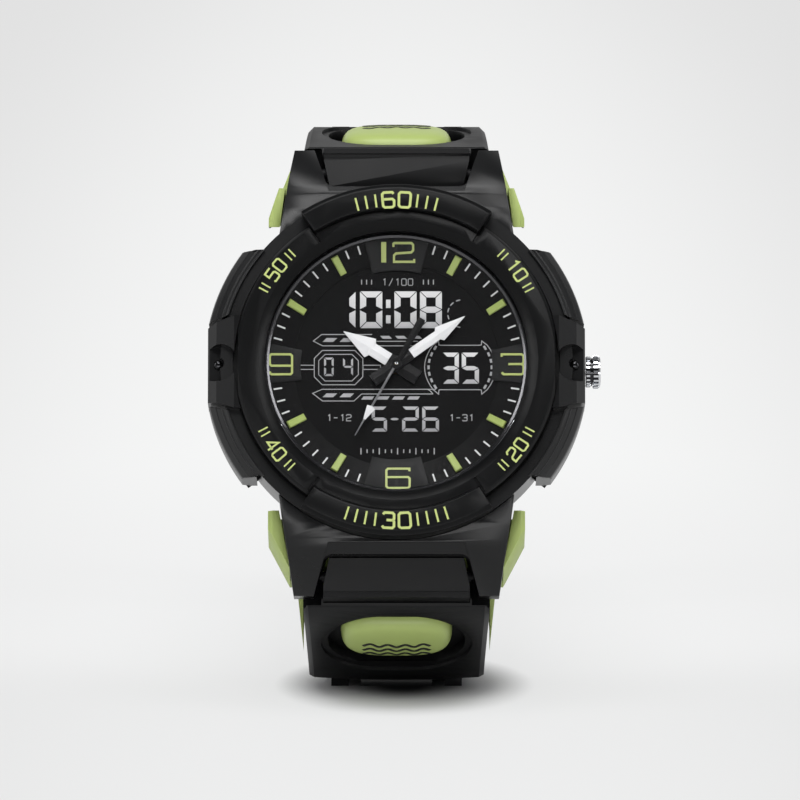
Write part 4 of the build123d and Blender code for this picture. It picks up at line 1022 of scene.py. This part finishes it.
UPPER_EAR_RISE = 1.7
EAR_FOOT_Y = 21
EAR_LOW = -2.2
EAR_HIGH = 5.6
EAR_INNER = 12.7
EAR_TABLE = [(19.8, 0.6), (25.6, 2.5), (30.6, 2.0), (32.7, 0.0)]
EAR_TOP_LEAN = 0.2
LIP_TOP = -2.3
LIP_STRETCH = 1.5
LIP_SINK = 0.2


def clamped(value):
    return max(0.0, min(1.0, value))


def shape_ears(side):
    """Ears as the photograph has them, and longer green lips beside the cover."""
    def move(point):
        x, y, z = point
        if abs(x) < EAR_INNER:
            return point
        if z < LIP_TOP:
            s, out = along_strap(point, side)
            return strap_point(x, s * LIP_STRETCH, out - LIP_SINK, side) if side < 0 else point
        if side > 0:
            share = clamped((EAR_HIGH - z) / (EAR_HIGH - EAR_LOW))
            return Vector((x, y + (UPPER_EAR_RISE * share if y < EAR_FOOT_Y else 0), z))
        near = -y
        root, knee, end = EAR_TABLE[0][0], EAR_TABLE[1][0], EAR_TABLE[-1][0]
        lean = EAR_TOP_LEAN * (z - EAR_LOW) * clamped((near - root) / (knee - root)) * clamped(end - near)
        return Vector((x, y + from_table(EAR_TABLE, near) + lean, z))
    return move


DOME_HALF = (7.6, 5.2)
DOME_MIDDLE = 9.4
DOME_CORNER = 3.2
DOME_RINGS = 14
DOME_STEPS = 72
DOME_BASE = -1.75
DOME_RISE = 2.65
DOME_CROWN = 0.5
DOME_EDGE = 10


def dome_reach(u, v):
    """1 on the dome's rounded outline, from its own half sizes."""
    return (abs(u) ** DOME_CORNER + abs(v) ** DOME_CORNER) ** (1 / DOME_CORNER)


def dome_height(x, s):
    """Height of the green dome over the cover's outer face."""
    t = min(1.0, dome_reach(x / DOME_HALF[0], (s - DOME_MIDDLE) / DOME_HALF[1]))
    return DOME_BASE + (DOME_RISE - DOME_CROWN * t * t) * math.sqrt(1 - t**DOME_EDGE)


WAVE_ROWS = (9.6, 11.0, 12.4)
WAVE_HALF = 4.6
WAVE_RISE = 0.38
WAVE_LENGTH = 2.4
WAVE_STEPS = 40
WAVE_PEN = 0.5
WAVE_HEIGHTS = (0.01, 0.04)


def make_domes():
    """Crowned green pads with plain wave lines."""
    for name, side in (("12", 1), ("6", -1)):
        points = []
        for ring in range(1, DOME_RINGS + 1):
            share = math.sin(math.pi / 2 * ring / DOME_RINGS)
            for c, d in circle(1, DOME_STEPS):
                reach = share / dome_reach(c, d)
                x = DOME_HALF[0] * reach * c
                s = DOME_MIDDLE + DOME_HALF[1] * reach * d
                points.append(strap_point(x, s, dome_height(x, s), side))
        node = "strap_" + name + "_inlay"
        mesh = closed_mesh(node + "_dome", points, ring_faces(DOME_RINGS, DOME_STEPS))
        add_piece(node + "_dome", mesh, "dome", body_of[node], [node])
        points = []
        faces = []
        places = [WAVE_HALF * (2 * i / WAVE_STEPS - 1) for i in range(WAVE_STEPS + 1)]
        for row in WAVE_ROWS:
            line = [(x, row + WAVE_RISE * math.cos(2 * math.pi * x / WAVE_LENGTH)) for x in places]
            for quad in stroke(line, WAVE_PEN):
                faces += ring_faces(2, 4, len(points))
                for up in WAVE_HEIGHTS:
                    points += [strap_point(x, s, dome_height(x, s) + up, side) for x, s in quad]
        mesh = closed_mesh("waves_" + name, points, faces)
        add_piece("waves_" + name, mesh, "print_black", body_of[node])


# Softened nodes: pieces that carry the CAD node's own shape, with soft edges or a bend

# Side of the cuts across the strap, if any, and how each point moves
RESHAPED = {
    "strap_12_body": (1, bend_strap(1)), "strap_12_cover": (1, bend_strap(1)),
    "strap_6_body": (-1, bend_strap(-1)), "strap_6_cover": (-1, bend_strap(-1)),
    "strap_12_liner": (0, shape_ears(1)), "strap_6_liner": (0, shape_ears(-1)),
}
HORNS = {"horn_cover_12": 1, "horn_cover_6": -1}
CUT_PITCH = 1.4
CUT_END = 60.0
WELD = 2e-6
CUT_WELD = 1.5e-5
SLIVER = 1e-5
FLAT_ANGLE = math.radians(0.6)
SHARP_ANGLE = math.radians(25)

# Width of each node's soft edges, in millimetres
SOFT_EDGES = {
    "horn_cover_12": 0.25, "horn_cover_6": 0.25,
    "bezel_plate_12": 0.12, "bezel_plate_6": 0.12, "bezel_ring": 0.10,
    "strap_12_cover": 0.18, "strap_6_cover": 0.18, "strap_12_liner": 0.2, "strap_6_liner": 0.2,
    "strap_keeper": 0.2, "strap_12_body": 0, "strap_6_body": 0, "buckle_frame": 0.25,
    "buckle_tongue": 0.2, "numeral_plates": 0.03,
}


def cut_across(work, spot, way):
    """Cut by a plane, given in the watch's own frame."""
    bmesh.ops.bisect_plane(work, geom=work.verts[:] + work.edges[:] + work.faces[:], dist=1e-6,
                           plane_co=watch_to_row @ Vector(spot), plane_no=watch_to_row.to_3x3() @ Vector(way))


def round_knee(work, side):
    """Soft bend where the horns turn down."""
    for i in range(KNEE_CUTS + 1):
        y = HORN_KNEE[0] + KNEE_SPREAD * (2 * i / KNEE_CUTS - 1)
        cut_across(work, (0, side * y, 0), (0, side, 0))
    for vertex in work.verts:
        spot = row_to_watch @ vertex.co
        near = abs(spot.y)
        if abs(spot.z - sharp_horn_top(near)) < KNEE_SKIN:
            vertex.co = watch_to_row @ Vector((spot.x, spot.y, horn_top(near)))


def reshape(work, side, move):
    """Cuts across the strap where it bends, then moves every point and keeps it over the floor."""
    s = CUT_PITCH / 2
    while side and s < CUT_END:
        spot = (0, side * (STRAP_ROOT[0] + s * STRAP_WAY[0]), STRAP_ROOT[1] + s * STRAP_WAY[1])
        cut_across(work, spot, (0, side * STRAP_WAY[0], STRAP_WAY[1]))
        s += CUT_PITCH
    bmesh.ops.remove_doubles(work, verts=work.verts, dist=CUT_WELD)
    bmesh.ops.dissolve_degenerate(work, edges=work.edges, dist=SLIVER)
    bmesh.ops.triangulate(work, faces=work.faces)
    for vertex in work.verts:
        spot = watch_to_row @ move(row_to_watch @ vertex.co)
        spot.z = max(spot.z, 0.0)
        vertex.co = spot


def soften(node, width):
    name = node + "_rounded"
    mesh = nodes[node].data.copy()
    mesh.name = name
    work = bmesh.new()
    work.from_mesh(mesh)
    bmesh.ops.remove_doubles(work, verts=work.verts, dist=WELD)
    if width > 0:
        bmesh.ops.dissolve_limit(work, angle_limit=FLAT_ANGLE, verts=work.verts, edges=work.edges)
    if node in RESHAPED:
        reshape(work, *RESHAPED[node])
    if node in HORNS:
        round_knee(work, HORNS[node])
    work.to_mesh(mesh)
    work.free()
    mesh.shade_smooth()
    piece = add_piece(name, mesh, look_of[node], body_of[node], [node])
    if width > 0:
        round_edges(piece, width)
    else:
        mesh.set_sharp_from_angle(angle=SHARP_ANGLE)
        even = piece.modifiers.new("normals", "WEIGHTED_NORMAL")
        even.mode = "FACE_AREA"
        even.keep_sharp = True


# Camera, stage and lights

CAMERA_DISTANCE = 1.1


def make_camera():
    elevation = math.atan2(out_of_dial.z, -out_of_dial.y) - VIEW_TILT
    away = Vector((0, -math.cos(elevation), math.sin(elevation)))
    up = Vector((0, math.sin(elevation), math.cos(elevation)))
    dial = watch_to_row @ Vector((0, 0, DIAL_Z))
    aside, rise = (PHOTO_SIZE / 2 - centre for centre in PHOTO_CENTRE)
    aim = dial + (across * aside - up * rise) * PIXEL / 1000
    data = bpy.data.cameras.new("camera")
    camera = add_object("camera", data)
    camera.location = aim + away * CAMERA_DISTANCE
    camera.rotation_euler = (-away).to_track_quat("-Z", "Y").to_euler()
    data.sensor_fit = "HORIZONTAL"
    data.angle = 2 * math.atan(PHOTO_SIZE * PIXEL / 2000 / CAMERA_DISTANCE)
    data.clip_start = 0.01
    scene.camera = camera


FLOOR_TONE = (0.68, 0.68, 0.685)
BACK_TONE = (0.925, 0.93, 0.928)
# Greyer glow at the floor's edges, a painted shade
EDGE_TONE = (0.76, 0.76, 0.76)
# Colour of the painted shadow on the floor under the strap
PAINTED_SHADOW_TONE = (0.012, 0.012, 0.013)

# Fades on the floor: centre, stretch, start and end in metres, and the values there if not 0 and 1
VIGNETTE = ((0, 0, 0), (1.5, 0.12, 0.12), 0.03, 0.19)
# Painted shade: the glow is weaker over the floor in front of the watch
FRONT = ((0, 0.6, 0), (0, 1.0, 0), 0.585, 0.655, 1.0, 0.915)
SHADOW = ((0, 0, 0), (1.0, 0.55, 1.0), 0.040, 0.110, 0.78)
CONTACT = ((0, -0.026, 0), (1.0, 0.75, 1.0), 0.011, 0.021)
# Painted shadow: where the floor's own colour darkens under the strap's front
PAINTED_CONTACT_SHADOW = ((0, -0.026, 0), (1.0, 0.75, 1.0), 0.002, 0.015)
STAGE_HALF = 3.0
STAGE_BACK = 2.0
SWEEP_RADIUS = 0.6
SWEEP_STEPS = 16


def make_stage():
    """Pale floor that curves up into a backdrop, with painted shade a little darker away from the watch and
    in front of it, and a painted shadow under the strap.
    """
    rows = [(-STAGE_HALF, 0)]
    for i in range(SWEEP_STEPS + 1):
        out, up = polar(SWEEP_RADIUS, 90 * i / SWEEP_STEPS - 90)
        rows.append((STAGE_BACK + out, SWEEP_RADIUS + up))
    rows.append((STAGE_BACK + SWEEP_RADIUS, STAGE_HALF))
    points = [(x, y, z) for y, z in rows for x in (-STAGE_HALF, STAGE_HALF)]
    faces = [(2 * i, 2 * i + 1, 2 * i + 3, 2 * i + 2) for i in range(len(rows) - 1)]
    mesh = mesh_of("stage_floor", points, faces, Matrix.Identity(4))
    mesh.shade_smooth()
    floor = add_object("stage_floor", mesh)
    material, shader = principled("pale_floor", FLOOR_TONE, 0.9, specular=0.05)
    place = add_node(shader, "TexCoord", "Object")

    def fade(centre, stretch, start, end, low=0.0, high=1.0):
        away = vector_math("MULTIPLY", vector_math("SUBTRACT", place, centre), stretch)
        return ranged(length_of(away), low, high, start, end, "SMOOTHSTEP")

    # Painted shade: the glow is greyer away from the watch and weaker in front of it
    tone = mixed_color(fade(*VIGNETTE), BACK_TONE, EDGE_TONE)
    glow = add_node(shader, "Emission", "Emission", {"Color": tone, "Strength": fade(*FRONT)})
    # Painted shadow: the floor's colour turns dark towards the strap's contact
    vary_tone(shader, fade(*PAINTED_CONTACT_SHADOW), PAINTED_SHADOW_TONE, FLOOR_TONE)
    share = number_math("MINIMUM", fade(*SHADOW), fade(*CONTACT))

    # Only these rays see the floor as background
    rays = [add_node(shader, "LightPath", f"Is {kind} Ray") for kind in ("Camera", "Glossy", "Transmission")]
    direct = number_math("MAXIMUM", number_math("MAXIMUM", rays[0], rays[1]), rays[2])
    inputs = {"Fac": number_math("MULTIPLY", share, direct), 1: shader.outputs["BSDF"], 2: glow}
    blend = add_node(shader, "MixShader", "Shader", inputs)
    feed(blend, material.node_tree.nodes["Material Output"], "Surface")
    mesh.materials.append(material)


# Each lamp: its name, place, width, height and power
LAMPS = [
    ("lamp_top", (0, -0.30, 1.05), 0.9, 0.35, 7.0),
    ("lamp_key", (0, -0.75, 0.85), 0.5, 0.30, 4.0),
    ("lamp_low", (0, -0.85, 0.06), 0.9, 0.10, 2.2),
    ("lamp_left", (-0.95, -0.30, 0.40), 0.30, 0.8, 4.0),
    ("lamp_right", (0.95, -0.30, 0.40), 0.30, 0.8, 4.0),
]
LAMP_TARGET = (0, 0, 0.04)
SKY_TONE = (0.92, 0.93, 0.95, 1)
SKY_LIGHT = 0.18
SKY_SEEN = 0.85


def make_lights():
    for name, location, width, height, power in LAMPS:
        data = bpy.data.lights.new(name, "AREA")
        data.energy = power
        data.shape = "RECTANGLE"
        data.size = width
        data.size_y = height
        lamp = add_object(name, data)
        lamp.location = location
        lamp.rotation_euler = (Vector(LAMP_TARGET) - Vector(location)).to_track_quat("-Z", "Y").to_euler()
    world = bpy.data.worlds.new("studio")
    scene.world = world
    world.use_nodes = True
    background = world.node_tree.nodes["Background"]
    background.inputs["Color"].default_value = SKY_TONE
    seen = add_node(background, "LightPath", "Is Camera Ray")
    feed(ranged(seen, SKY_LIGHT, SKY_SEEN), background, "Strength")


make_camera()
make_stage()
make_lights()
display_digits()
display_frames()
display_seconds_frame()
display_ring()
display_captions()
dial_numerals()
minute_ticks()
bezel_numerals()
make_rim_highlight()
make_button_beds()
make_buttons()
make_notch_fills()
make_crown()
make_pin_heads()
make_domes()
make_hands()
for soft_node, soft_width in SOFT_EDGES.items():
    soften(soft_node, soft_width)

scene.view_settings.view_transform = "Standard"
